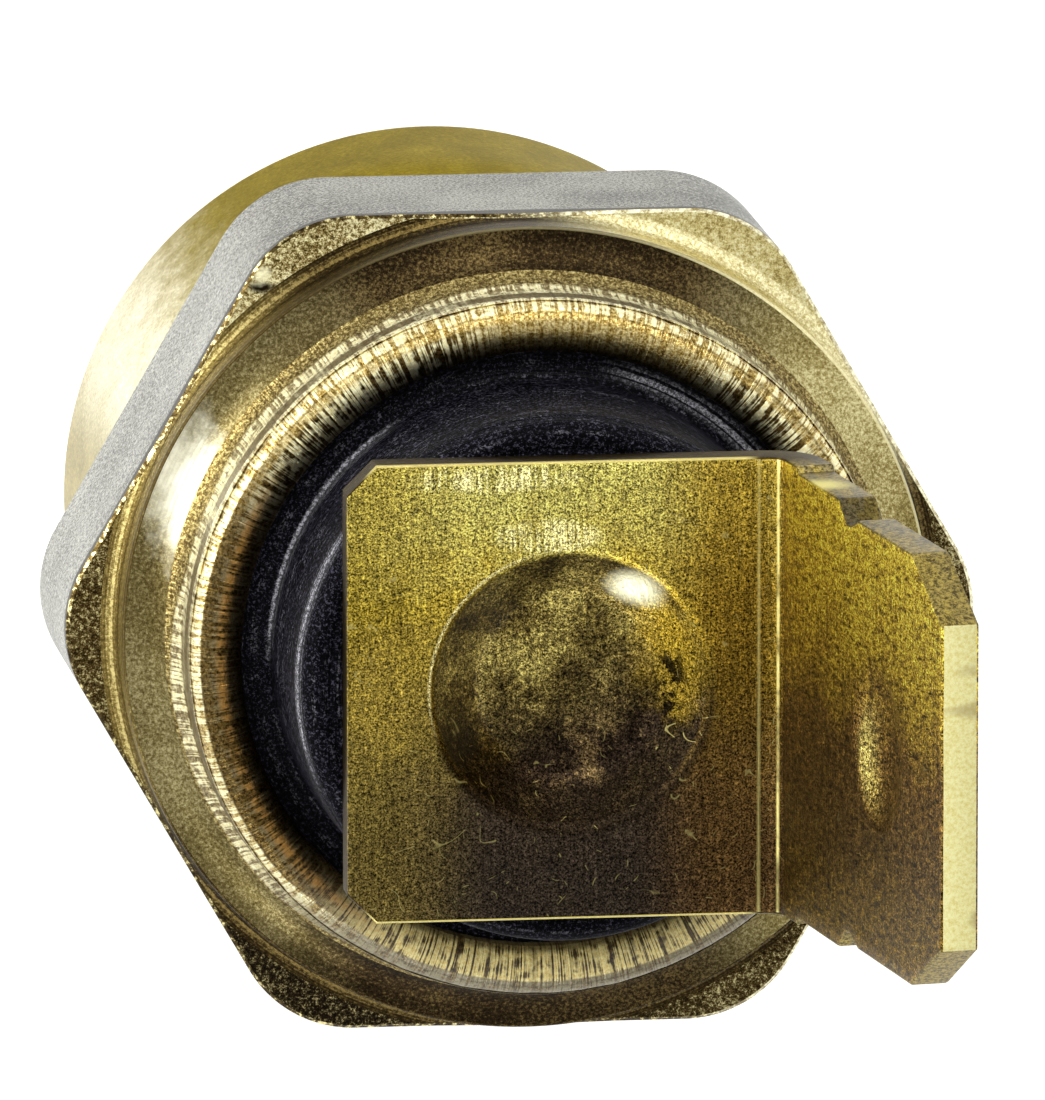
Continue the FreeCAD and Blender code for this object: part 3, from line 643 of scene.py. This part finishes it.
def lip_brass():
    """Lip burnished by the rolling tool, its brass gathered into fine radial wrinkles, and
    painted lighter and darker round its ring as light and shade.
    """
    look = Look("lip_brass", roughness=0.3)
    over = look.joined(look.across, look.upward, look.radius)
    speckle = look.grain(14, 3, 0.8)
    folds = look.noise(look.around, 12, 2, 0.6)
    blotch = look.swing(look.grain(4.5, 2))
    wander = look.swing(look.noise(over, 2.6, 3), 0.7)
    cream = look.ramp(speckle, (0.35, (232, 212, 142)), (0.6, (255, 252, 210)))
    gold = look.ramp(
        speckle, (0.38, (94, 73, 33)), (0.5, (162, 134, 68)), (0.62, (218, 198, 130)))
    brown = look.ramp(speckle, (0.38, (26, 18, 8)), (0.62, (104, 82, 40)))
    # Sides of the axis, over which light and shade are painted into the lip's colour.
    below = look.toward(0.1, -0.99, 0.5, 0.8)
    left = look.toward(-0.98, -0.2, 0.6, 0.85)
    above = look.toward(0.16, 0.98, 0.88, 0.97)
    ladder = look.toward(-0.87, -0.5, 0.7, 0.97)

    # Crest and inner slope
    finer = look.noise(look.around, 21, 2, 0.6)
    finer = look.times(look.math("SUBTRACT", finer, folds), below)
    broken = look.plus(folds, finer, look.times(blotch, 0.5))
    # Painted light: towards the bottom the slope has fewer dark ticks and a warmer bright colour.
    ticks = look.rise(look.plus(broken, look.times(below, 0.035)), 0.43, 0.56)
    warm = look.ramp(speckle, (0.35, (228, 196, 110)), (0.6, (255, 240, 168)))
    slope = look.mix(ticks, brown, look.mix(below, cream, warm))
    crest = look.rise(look.radius, 6.98, 7.08)
    crest = look.times(crest, look.rest(below))
    slope = look.mix(look.times(crest, 0.7), slope, gold)
    # Painted light: gold towards the top. Painted shade: brown on the left.
    slope = look.mix(look.times(above, 0.8), slope, gold)
    slope = look.mix(look.times(left, 0.9), slope, brown)
    # Painted glow: a soft orange line on the left of the inner slope.
    glow = look.times(look.line(look.radius, 6.8, 0.2), left, ticks)
    slope = look.mix(look.times(glow, 0.4), slope, tone(214, 146, 48))
    slope = look.mix(look.rise(look.radius, 6.4, 6.54, 0.8, 0.0), slope, brown)

    # Shoulder and outer wall
    flecks = look.rise(look.grain(7, 3, 0.8), 0.44, 0.52)
    flecks = look.blend(flecks, ticks, 0.45)
    flecks = look.math("MINIMUM", look.plus(flecks, 0.1), 1.0)
    foot = look.mix(flecks, brown, cream)
    low = look.rise(look.z, 18.3, 18.55, 0.8, 0.0)
    foot = look.mix(low, foot, look.mix(ticks, look.mix(0.35, brown, gold), cream))
    level = look.plus(look.z, look.times(wander, 0.8))
    dark = look.times(look.rise(level, 18.6, 18.7), look.rise(level, 19.15, 19.25, 1.0, 0.0))
    dark = look.times(dark, look.rise(look.noise(over, 6, 4, 0.8), 0.36, 0.5, 0.3, 0.9))
    outer = look.mix(dark, foot, brown)
    outer = look.mix(look.rise(look.z, 19.3, 19.4), outer, look.mix(ticks, gold, cream))
    # Painted shade: the outer wall is brown towards the bottom.
    outer = look.mix(look.times(below, 0.75), outer, brown)
    limit = look.plus(look.radius, look.times(below, 0.16))
    colour = look.mix(look.rise(limit, 7.22, 7.27), slope, outer)
    seam = look.line(look.plus(look.radius, look.times(blotch, 0.06)), 7.45, 0.035)
    seam = look.times(seam, ladder)
    crease = look.line(look.plus(look.radius, look.times(blotch, 0.1)), 7.21, 0.04)
    colour = look.mix(look.most(seam, look.times(crease, 0.5)), colour, brown)
    end = look.plus(look.radius, look.times(wander, 0.25))
    end = look.math("SUBTRACT", end, look.times(ladder, 0.19))
    past = look.rise(end, 7.48, 7.53)
    dull = look.ramp(
        speckle, (0.38, (70, 55, 28)), (0.5, (120, 102, 56)), (0.62, (196, 178, 116)))
    colour = look.mix(past, colour, dull)

    matt = look.rise(look.radius, 7.4, 7.46, 0.0, 0.8)
    matt = look.most(matt, look.times(below, 0.9))
    matt = look.most(matt, look.times(ladder, look.rise(look.radius, 7.2, 7.26, 0, 0.6)))
    matt = look.times(matt, look.rest(past))
    look.matt(matt)
    look.bump(look.plus(folds, look.times(speckle, 0.4)), 0.03)
    return look.paint(colour)


def cove_brass():
    """Turned cove with fine turning lines, painted brown as shade towards the top, the bottom,
    the lower left and the upper left, and with a painted highlight on the left.
    """
    look = Look("cove_brass", roughness=0.42)
    lines = look.noise(look.rings, 14, 2, 0.6)
    cloud = look.grain(0.35, 3)
    grain = look.grain(14, 3, 0.85)
    both = look.blend(cloud, grain, 0.65)
    pale = look.ramp(both, (0.38, (95, 80, 38)), (0.5, (160, 144, 87)), (0.62, (226, 217, 162)))
    brown = look.ramp(both, (0.38, (18, 13, 6)), (0.5, (42, 32, 18)), (0.62, (100, 84, 49)))
    # Painted shade: darker brown towards the top and the bottom of the ring.
    share = look.rise(look.times(look.upward, look.upward), 0.4, 0.85)
    colour = look.mix(share, pale, brown)
    # Painted shade: darker brown towards the lower left.
    low = look.rise(look.plus(look.x, look.y), -6.5, -3.5, 0.6, 0.0)
    colour = look.mix(low, colour, brown)
    # Painted shade over the reflection on the upper left.
    shade = look.toward(-0.77, 0.64, 0.93, 0.99)
    colour = look.mix(look.times(shade, 0.6), colour, brown)
    # Painted highlight: a bright cream blob on the left, with less mirror so that it shows.
    cove_highlight = look.near((-7.3, 3.3, 17.6), (1.15, 2.2, 2.0), 1.0, 0.7, 3)
    cove_highlight = look.times(cove_highlight, look.rise(lines, 0.3, 0.6, 0.65, 1.0))
    colour = look.stain_or_light(colour, cove_highlight, (255, 252, 226))
    look.matt(look.times(cove_highlight, 0.5))
    look.bump(look.plus(lines, look.times(grain, 0.5)), 0.01)
    return look.paint(colour)


def collar_brass():
    """Edge, wall and foot of the collar, with painted light and shade: lighter on the left,
    bright towards the upper right, and darker on the upper left of its top edge.
    """
    look = Look("collar_brass", roughness=0.38)
    grain = look.grain(13, 3, 0.85)
    lines = look.noise(look.rings, 10, 2, 0.6)
    both = look.blend(lines, grain, 0.5)
    dull = look.ramp(both, (0.38, (22, 16, 7)), (0.5, (50, 39, 19)), (0.62, (124, 106, 60)))
    fair = look.ramp(both, (0.4, (72, 58, 28)), (0.52, (130, 112, 60)), (0.6, (206, 190, 126)))
    pale = look.ramp(grain, (0.36, (176, 158, 92)), (0.64, (255, 248, 200)))
    # Painted light: lighter towards the left, and a bright painted highlight towards the upper
    # right.
    colour = look.mix(look.toward(-1.0, 0.25, 0.7, 0.95), dull, fair)
    colour = look.mix(look.toward(0.6, 0.8, 0.8, 0.97), colour, pale)
    # Painted highlight along the top edge towards the upper right.
    rim = look.rise(look.z, COLLAR_TOP - 0.07, COLLAR_TOP - 0.02)
    rim = look.times(rim, look.toward(0.7, 0.7, 0.1, 0.8))
    colour = look.stain_or_light(colour, rim, (246, 236, 180), 0.6)
    # Painted shade along the top edge towards the upper left.
    dim = look.rise(look.z, COLLAR_TOP - 0.12, COLLAR_TOP - 0.05)
    dim = look.times(dim, look.toward(-0.6, 0.8, 0.2, 0.7))
    colour = look.stain_or_light(colour, dim, (60, 48, 24), 0.8)
    look.bump(look.plus(lines, grain), 0.02)
    return look.paint(colour, look.toward(0.6, 0.8, 0.5, 0.9, 0.5, 0.36))


def top_brass():
    """Turned faces of the hexagon's corners, grainy and rubbed, painted paler towards the upper
    right as highlight and darker at the bottom as shadow.
    """
    look = Look("top_brass", roughness=0.42)
    grain = look.grain(12, 4, 0.9)
    cloud = look.grain(0.8, 2)
    both = look.blend(cloud, grain, 0.8)
    dull = look.ramp(both, (0.42, (21, 14, 6)), (0.53, (80, 64, 31)), (0.63, (214, 204, 148)))
    pale = look.ramp(both, (0.38, (123, 106, 55)), (0.5, (195, 181, 121)), (0.6, (224, 222, 185)))
    # Painted highlight: the corners towards the upper right are paler.
    share = look.toward(0.6, 0.8, 0.75, 0.98)
    colour = look.mix(share, dull, pale)
    flecked = look.ramp(
        both, (0.41, (58, 45, 20)), (0.49, (154, 132, 73)), (0.55, (237, 231, 182)))
    colour = look.mix(look.toward(-0.5, 0.87, 0.8, 0.95), colour, flecked)
    nick = look.near((-5.5, 7.26, 16.2), (0.5, 0.18, 0.3), 0.8, 0.9, 4)
    colour = look.stain_or_light(colour, nick, (30, 22, 10))
    bruise = look.near((-5.55, 7.5, 16.2), (0.34, 0.24, 0.3), 0.9, 1.4, 4)
    colour = look.stain_or_light(colour, bruise, (255, 250, 206))
    # Painted shadow: the corners towards the bottom are darker.
    colour = look.mix(look.toward(-0.4, -0.9, 0.6, 0.9), colour, look.ramp(
        grain, (0.42, (14, 10, 6)), (0.55, (50, 40, 22)), (0.66, (190, 176, 124))))
    look.bump(grain, 0.03)
    return look.paint(colour)


def edge_brass():
    """Broken edge round the top of the hexagon: painted dark as shade on the left, and bright on
    the right as a highlight.
    """
    look = Look("edge_brass", roughness=0.36)
    grain = look.grain(6, 3, 0.8)
    dark = look.ramp(grain, (0.36, (34, 26, 12)), (0.52, (84, 70, 38)), (0.64, (232, 218, 156)))
    edge_highlight = look.ramp(grain, (0.36, (150, 132, 78)), (0.6, (255, 250, 214)))
    look.bump(grain, 0.01)
    # Painted shade on the left and painted highlight on the right.
    return look.paint(look.mix(look.toward(1.0, 0.2, 0.1, 0.5), dark, edge_highlight))


def side_brass():
    """Milled flats of the hexagon, pale and even, painted darker as shade on the flat that faces
    up, with a dark line under the top edge.
    """
    look = Look("side_brass", roughness=0.45)
    grain = look.grain(15, 3, 0.9)
    cloud = look.grain(0.4, 2)
    milled = look.grain(5, 2, stretch=(0.5, 0.5, 3))
    both = look.blend(look.blend(cloud, milled, 0.4), grain, 0.8)
    colour = look.ramp(both, (0.44, (104, 104, 97)), (0.57, (210, 209, 200)))
    shade = look.ramp(both, (0.45, (60, 60, 53)), (0.56, (180, 179, 168)))
    # Painted shade: the flat that faces up is darker.
    colour = look.mix(look.rise(look.upward, 0.75, 0.9), colour, shade)
    edge = look.plus(look.z, look.swing(cloud, 0.3))
    edge = look.rise(edge, HEX_TOP - 0.4, HEX_TOP - 0.26)
    look.bump(grain, 0.01)
    return look.paint(look.stain_or_light(colour, edge, (44, 38, 24), 0.9))


def barrel_brass():
    """Plain turned barrel with painted light and shade: straw low on its side, a bright painted
    highlight higher up, and mottled olive painted shade towards the top.
    """
    look = Look("barrel_brass", roughness=0.33)
    grain = look.grain(11, 4, 0.8)
    cloud = look.grain(0.9, 4, 0.7, (1, 1, 0.6))
    streaks = look.grain(1.8, 4, 0.75, (1, 1, 0.5))
    both = look.blend(cloud, grain, 0.6)
    bright = look.ramp(both, (0.35, (222, 208, 160)), (0.6, (255, 254, 240)))
    straw = look.ramp(both, (0.38, (112, 100, 54)), (0.62, (186, 170, 104)))
    dull = look.ramp(both, (0.34, (88, 76, 30)), (0.5, (136, 121, 56)), (0.66, (184, 168, 88)))
    # Painted highlight: bright where the side faces partly up, straw below it.
    colour = look.mix(look.rise(look.upward, 0.12, 0.45), straw, bright)
    # Painted shade: olive towards the top, its edge broken by streaks.
    edge = look.plus(look.upward, look.swing(streaks, 0.3))
    shaded_top = look.rise(edge, 0.48, 0.86)
    colour = look.grained(look.mix(shaded_top, colour, dull), grain, 0.22)
    # The painted shade also tints the reflections.
    tint = look.mix(shaded_top, tone(255, 252, 236), tone(196, 184, 124))
    look.feed(look.shader.inputs["Specular Tint"], tint)
    look.bump(look.noise(look.scaled(look.rings, (0.2, 1, 1)), 9, 2), 0.008)
    return look.paint(colour)


def shank_brass(name):
    """Thread, bulb and bore: plain turned brass."""
    look = Look(name, roughness=0.34)
    grain = look.grain(6, 4, 0.7)
    cloud = look.grain(0.4, 3)
    both = look.blend(cloud, grain, 0.4)
    colour = look.ramp(
        both, (0.35, (128, 108, 58)), (0.5, (184, 162, 98)), (0.65, (222, 204, 146)))
    look.bump(look.noise(look.rings, 8, 2), 0.008)
    return look.paint(colour)


def sheet_brass():
    """Rolled sheet: brushed across the strip, painted darker towards one edge and in the dish as
    shade, with painted highlights on the plate, in the dish and along the bend.
    """
    look = Look("sheet_brass", roughness=0.36)
    brushed = look.grain(1.6, 3, 0.65, (9, 0.45, 9))
    grain = look.grain(11, 4, 0.95)
    cloud = look.grain(0.45, 3, 0.55)
    patch = look.noise(look.moved(look.place, (7, 0, 0)), 1.1, 3, 0.6)
    wobble = look.swing(cloud, 3)
    # Painted shade and reflection: the plate and the blade are darker towards -Y and lighter
    # towards +Y.
    height = look.rise(look.plus(look.y, wobble), -5.2, 5.2)
    height = look.plus(height, look.swing(patch, 0.25))
    left = look.ramp(
        height, (0.0, (89, 76, 38)), (0.2, (102, 88, 41)), (0.5, (139, 119, 49)),
        (0.75, (136, 117, 39)), (0.95, (162, 145, 64)))
    middle = look.ramp(
        height, (0.0, (45, 38, 30)), (0.22, (58, 48, 36)), (0.45, (108, 94, 42)),
        (0.75, (181, 156, 59)), (0.95, (185, 174, 91)))
    right = look.ramp(
        height, (0.0, (72, 53, 29)), (0.25, (91, 69, 34)), (0.5, (107, 85, 28)),
        (0.75, (118, 95, 31)), (0.95, (150, 128, 50)))
    plate = look.mix(look.rise(look.x, -4.2, -1.6), left, middle)
    plate = look.mix(look.rise(look.x, 1.2, 3.2), plate, right)
    blade = look.ramp(
        height, (0.0, (109, 86, 29)), (0.25, (101, 78, 37)), (0.5, (116, 88, 41)),
        (0.78, (193, 160, 55)), (0.95, (212, 179, 64)))
    on_blade = look.rise(look.z, PLATE_TOP + 0.15, PLATE_TOP + 0.5)
    colour = look.mix(on_blade, plate, blade)
    inside = look.rise(look.z, PLATE_TOP - 0.16, PLATE_TOP - 0.05, 1.0, 0.0)
    both = look.blend(patch, grain, 0.45)
    mottled = look.ramp(both, (0.38, (46, 37, 20)), (0.5, (105, 91, 46)), (0.62, (163, 148, 81)))
    shaded_dish = look.ramp(both, (0.38, (24, 18, 13)), (0.5, (46, 36, 26)), (0.62, (104, 86, 54)))
    # Painted shade: the dish is darker towards its lower right.
    low = look.plus(look.times(look.x, 0.35), look.times(look.y, -1.0))
    dish = look.mix(look.rise(look.plus(low, wobble), -0.9, 1.5), mottled, shaded_dish)
    # Painted shade on the lower wall of the dish.
    wall = look.rise(look.z, PLATE_TOP - 0.86, PLATE_TOP - 0.6)
    wall = look.times(wall, look.rise(look.y, -1.0, 0.3, 0.85, 0.0))
    dish = look.mix(wall, dish, tone(26, 20, 12))
    colour = look.mix(inside, colour, dish)
    # Painted light: the right wall of the dish is golden.
    gold = look.near((2.1, 0.75, PLATE_TOP - 0.4), (1.3, 1.9, 0.9), 0.85, 0.5, 2.4)
    colour = look.stain_or_light(colour, gold, (174, 144, 44), 0.9)
    spots = look.rise(look.noise(look.moved(look.place, (3, 0, 0)), 3.2, 4, 0.75), 0.49, 0.55)
    spots = look.times(spots, look.near((2.1, -0.1, PLATE_TOP - 0.45), (0.5, 1.3, 0.8), 0.5))
    colour = look.stain_or_light(colour, spots, (14, 9, 6), 0.95)
    # Painted shade over the dish's lower rim.
    lower = look.times(look.line(look.radius, 2.96, 0.2), look.toward(0.2, -0.98, -0.2, 0.4))
    colour = look.stain_or_light(colour, lower, (30, 23, 14), 0.85)
    # Painted highlight along the dish's rim on the upper left.
    rim = look.times(look.line(look.radius, 2.98, 0.06), look.toward(-0.85, 0.5, 0.6, 0.9))
    rim = look.times(rim, look.rise(look.z, PLATE_TOP - 0.2, PLATE_TOP - 0.1))
    colour = look.stain_or_light(colour, rim, (250, 236, 160), 0.8)
    # Painted highlights: bright brushed patches on the upper plate, with less mirror so that they
    # show.
    streaks = look.rise(brushed, 0.42, 0.6)
    patch_one = look.near((-0.5, 3.25, PLATE_TOP), (1.25, 0.42, 0.5), 0.4, 0.4)
    patch_two = look.near((-1.6, 4.5, PLATE_TOP), (2.2, 0.36, 0.5), 0.6, 0.5)
    patches = look.times(look.most(patch_one, patch_two), streaks)
    colour = look.stain_or_light(colour, patches, (250, 238, 160), 0.9)
    matt = look.most(look.times(patches, 0.7), look.times(rim, 0.7))
    west = look.times(inside, look.toward(-0.98, 0.2, 0.6, 0.9), 0.6)
    west = look.times(west, look.rise(look.radius, 1.7, 2.0))
    matt = look.most(matt, west)
    look.matt(matt)
    # Painted highlight: a pale crescent along the left of the blade's dimple.
    edge_of_dimple = look.near((5.5, -0.15, 31.2), (3, 1.6, 1.66), 0.2)
    past_edge = look.near((5.6, -0.05, 31.7), (3, 1.9, 2.0), 0.45)
    crescent = look.times(edge_of_dimple, look.rest(past_edge))
    crescent = look.times(crescent, look.near((5.5, -0.35, 30), (3, 1.5, 3), 0.9))
    colour = look.stain_or_light(colour, crescent, (226, 204, 112), 0.8)
    colour = look.grained(colour, brushed, 0.36)
    colour = look.grained(colour, grain, 1.2)
    colour = look.grained(colour, look.grain(24, 2, 0.9), 1.6)
    coarse = look.grain(8, 3, 0.85, (1, 1, 0.35))
    coarse = look.plus(0.5, look.times(look.swing(coarse), on_blade))
    colour = look.grained(colour, coarse, 1.1)
    # Painted highlight on the upper right wall of the dish.
    dish_highlight = look.near((1.45, 2.1, PLATE_TOP - 0.45), (0.85, 0.65, 0.6), 0.8, 0.3)
    colour = look.stain_or_light(colour, dish_highlight, (255, 252, 214))
    # Painted highlights: a pale line where the bend starts and a bright one where it ends.
    fold = look.line(look.x, 3.94, 0.06)
    crease = look.times(look.line(look.x, 4.33, 0.045), look.rise(patch, 0.4, 0.6, 0.25, 1.0))
    folds = look.plus(look.times(fold, 0.35), look.times(crease, 0.9))
    folds = look.times(folds, look.rise(look.z, PLATE_TOP + 0.5, PLATE_TOP + 0.8, 1.0, 0.0))
    colour = look.stain_or_light(colour, folds, (255, 240, 150))
    hairs = look.most(look.hairs(1.4, 3, 0.012, 0.66), look.hairs(2.6, 11, 0.02, 0.68))
    colour = look.stain_or_light(colour, hairs, (192, 180, 112), 0.4)
    look.bump(look.plus(brushed, look.times(grain, 0.6)), 0.016)
    return look.paint(colour, look.rise(grain, 0.3, 0.7, 0.3, 0.44))


def side_of_sheet():
    """Sheared sides of the strip: dull olive, painted dark along the plate as reflection of the
    dark insulator, with painted highlights along the plate's top edge near the bend and on one
    ear of the root, and a painted shadow in its notch.
    """
    look = Look("side_of_sheet", roughness=0.45)
    grain = look.grain(11, 3, 0.85)
    plate = look.ramp(grain, (0.35, (30, 24, 12)), (0.65, (74, 60, 30)))
    dull = look.ramp(grain, (0.4, (62, 54, 30)), (0.6, (150, 136, 92)))
    olive = look.ramp(grain, (0.4, (70, 58, 24)), (0.6, (168, 148, 72)))
    streak = look.grain(1.0, 2, stretch=(2.5, 1, 0.4))
    streak = look.times(look.rise(streak, 0.42, 0.56), look.rise(look.z, 32.0, 33.6, 1.0, 0.2))
    colour = look.mix(streak, olive, dull)
    # Painted reflection of the dark insulator: the sides of the plate are dark.
    colour = look.mix(look.rise(look.z, PLATE_TOP + 0.1, PLATE_TOP + 1.2), plate, colour)
    # Painted highlight along the plate's top edge near the bend.
    edge = look.rise(look.z, PLATE_TOP - 0.1, PLATE_TOP - 0.04)
    edge = look.times(edge, look.rise(look.x, 3.6, 4.0, 1.0, 0.0))
    edge = look.times(edge, look.rise(look.math("ABSOLUTE", look.y), 4.5, 4.8))
    colour = look.stain_or_light(colour, edge, (230, 214, 130), 0.7)
    # Painted highlight: a bright curl on one ear of the root.
    curl_highlight = look.near((4.8, PLATE_HALF, PLATE_TOP + 2.6), (0.9, 0.6, 0.9), 0.8, 0.4)
    colour = look.stain_or_light(colour, curl_highlight, (226, 216, 130), 0.9)
    # Painted shadow in the notch above that ear.
    notch_shadow = look.near((5.1, 4.5, PLATE_TOP + 4.5), (1.2, 0.6, 0.9), 0.6, 0.3)
    colour = look.stain_or_light(colour, notch_shadow, (30, 22, 12), 0.6)
    look.bump(grain, 0.015)
    return look.paint(colour)


def tip_of_sheet():
    """Sheared end of the blade: pale, with a few dark marks across."""
    look = Look("tip_of_sheet", metallic=0.4, roughness=0.5)
    grain = look.grain(11, 3, 0.85)
    across = look.grain(1.1, 1, stretch=(0.3, 1, 0.3))
    marks = look.rise(across, 0.32, 0.38, 1.0, 0.0)
    colour = look.ramp(grain, (0.3, (218, 201, 115)), (0.6, (240, 235, 171)))
    colour = look.stain_or_light(colour, marks, (140, 110, 60), 0.5)
    look.bump(grain, 0.015)
    return look.paint(colour)


def black_moulding():
    """Black moulding, satin, with fine rings round its boss, thin arcs of pale dust, and painted
    highlights along the edges of its boss and flange.
    """
    look = Look("black_moulding", metallic=0.0, roughness=0.3, specular=0.04)
    rings = look.noise(look.rings, 9, 2, 0.6)
    grain = look.grain(14, 3, 0.9)
    speckle = look.rise(grain, 0.46, 0.6)
    colour = look.ramp(grain, (0.4, (0, 0, 1)), (0.54, (5, 5, 9)), (0.64, (70, 68, 80)))
    arcs = look.rise(look.noise(look.rings, 11, 2, 0.7), 0.52, 0.6)
    arcs = look.times(arcs, look.rise(look.grain(1.3, 3, 0.7), 0.48, 0.6))
    colour = look.stain_or_light(colour, look.times(arcs, speckle), (150, 148, 156), 0.35)
    # Painted highlights: pale arcs on the boss's foot and top edge on the left, and on the flange
    # towards the upper right.
    foot = look.line(look.radius, 5.74, 0.06)
    foot = look.times(foot, look.rise(look.z, FLANGE_TOP + 0.4, FLANGE_TOP + 0.5, 1.0, 0.0))
    foot = look.times(foot, look.toward(-0.88, 0.48, 0.85, 0.97))
    top = look.line(look.z, 22.75, 0.42)
    top = look.times(top, look.toward(-0.99, 0.15, 0.82, 0.96))
    top = look.times(top, look.rise(look.noise(look.rings, 7, 1), 0.4, 0.55, 0.15, 0.7))
    ring = look.line(look.radius, 6.05, 0.25)
    ring = look.times(ring, look.toward(0.6, 0.8, 0.9, 0.97))
    ring = look.times(ring, look.rise(look.noise(look.rings, 13, 1), 0.42, 0.56))
    marks = look.most(look.times(foot, 1.4), top, ring)
    colour = look.stain_or_light(colour, look.times(marks, look.plus(speckle, 0.15)), (196, 194, 200))
    look.bump(rings, 0.04)
    rough = look.rise(look.z, 22.4, 22.8, 0.0, 0.25)
    return look.paint(colour, look.plus(look.rise(rings, 0.35, 0.65, 0.3, 0.6), rough))


def plain_look(name, dark, pale, metallic, roughness, scale=3.0, stretch=(1, 1, 1)):
    """Look of a hidden piece: two tones, a grain and a little relief."""
    look = Look(name, metallic=metallic, roughness=roughness)
    grain = look.grain(scale, 4, 0.65, stretch)
    look.bump(grain, 0.01)
    return look.paint(look.ramp(grain, (0.3, dark), (0.7, pale)))


# Pieces

build_body([
    top_brass(), cove_brass(), collar_brass(), lip_brass(), edge_brass(), side_brass(),
    barrel_brass(), shank_brass("shank_brass"), shank_brass("bore_brass"),
])
build_insulator([black_moulding()])
build_terminal([sheet_brass(), side_of_sheet(), tip_of_sheet()])

contact = plain_look("contact_brass", (138, 114, 60), (206, 186, 120), 1.0, 0.32, 4, (1, 1, 3))
hidden = {
    "sealing_ring": plain_look("seal_rubber", (14, 14, 14), (40, 40, 40), 0.0, 0.7, 5),
    "contact_stud": contact,
    "spring_seat_washer": contact,
    "contact_cap": contact,
    "contact_spring": plain_look("spring_steel", (120, 120, 122), (180, 180, 182), 1.0, 0.3, 6),
    "sensing_pellet": plain_look("pellet_ceramic", (30, 28, 26), (64, 60, 56), 0.0, 0.8, 7),
    "insulating_sleeve": plain_look("sleeve_fibre", (92, 56, 30), (150, 104, 62), 0.0, 0.75),
}
for name, material in hidden.items():
    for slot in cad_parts[name].material_slots:
        slot.material = material


# Camera

def place_camera():
    """Camera near the axis, above the terminal, with the photograph's framing.

    The photograph's size, its scale to a millimetre and the place of the axis are in pixels.
    """
    towards = Vector((-0.1288, 0.1837, 0.9745)).normalized()
    right = Vector((0, 1, 0)).cross(towards).normalized()
    up = towards.cross(right)
    width, height, scale = 1045, 1100, 47.3
    axis_x, axis_y = 521.0, 619.5
    distance = 500
    place = Vector((0, 0, HEX_TOP)) + distance * towards
    place -= (axis_x - width / 2) / scale * right - (axis_y - height / 2) / scale * up
    data = bpy.data.cameras.new("camera")
    data.sensor_width = 36
    data.lens = scale * distance / height * data.sensor_width
    data.clip_end = 10
    camera = bpy.data.objects.new("camera", data)
    turn = Matrix((right, up, towards)).transposed().to_4x4()
    camera.matrix_world = Matrix.Translation(place * MM) @ turn
    bpy.context.collection.objects.link(camera)
    bpy.context.scene.camera = camera


# Stage and light

def add_lamp(name, towards, distance, size, power):
    """Soft square lamp that faces the object from a direction."""
    data = bpy.data.lights.new(name, "AREA")
    data.shape = "SQUARE"
    data.size = size
    data.energy = power
    lamp = bpy.data.objects.new(name, data)
    way = Vector(towards).normalized()
    lamp.location = way * distance + Vector((0, 0, 0.015))
    lamp.rotation_euler = way.to_track_quat("Z", "Y").to_euler()
    bpy.context.collection.objects.link(lamp)


def build_stage():
    """Pale floor under the bulb, which the camera and the metal see as white."""
    bpy.ops.mesh.primitive_plane_add(size=6, location=(0, 0, BULB_END * MM))
    floor = bpy.context.object
    floor.name = "floor"
    material = bpy.data.materials.new("floor_paper")
    tree = Tree(material)
    paper = tree.nodes["Principled BSDF"].inputs
    paper["Base Color"].default_value = (0.82, 0.82, 0.82, 1)
    paper["Roughness"].default_value = 0.9
    paper["Emission Color"].default_value = (1, 1, 1, 1)
    tree.feed(paper["Emission Strength"], tree.times(tree.sees_white(), 0.45))
    floor.data.materials.append(material)


def light_world():
    """White surroundings, whose own light is dimmer straight above and towards one side."""
    world = bpy.data.worlds.new("studio")
    bpy.context.scene.world = world
    tree = Tree(world)
    background = tree.nodes["Background"].inputs
    background["Color"].default_value = (0.97, 0.98, 1.0, 1)
    place = tree.node("ShaderNodeTexCoord").outputs["Generated"]
    height = tree.node("ShaderNodeSeparateXYZ", place).outputs["Z"]
    sideways = tree.vector("DOT_PRODUCT", place, (-0.42, 0.91, 0)).outputs["Value"]
    strength = tree.times(
        tree.rise(height, 0.5, 0.97, 0.85, 0.55), tree.rise(sideways, -0.7, 0.8, 0.4, 1.15))
    seen = tree.node("ShaderNodeMix", tree.sees_white(), None, strength, 1.0)
    tree.feed(background["Strength"], seen.outputs[0])


place_camera()
build_stage()
light_world()
add_lamp("key", (-0.93, 0.36, 0.2), 0.5, 0.22, 1.7)
add_lamp("overhead", (0.1, 0.78, 0.62), 0.6, 0.3, 1.5)
add_lamp("low", (-0.30, -0.85, 0.43), 0.5, 0.1, 0.7)
bpy.context.scene.view_settings.view_transform = "Standard"
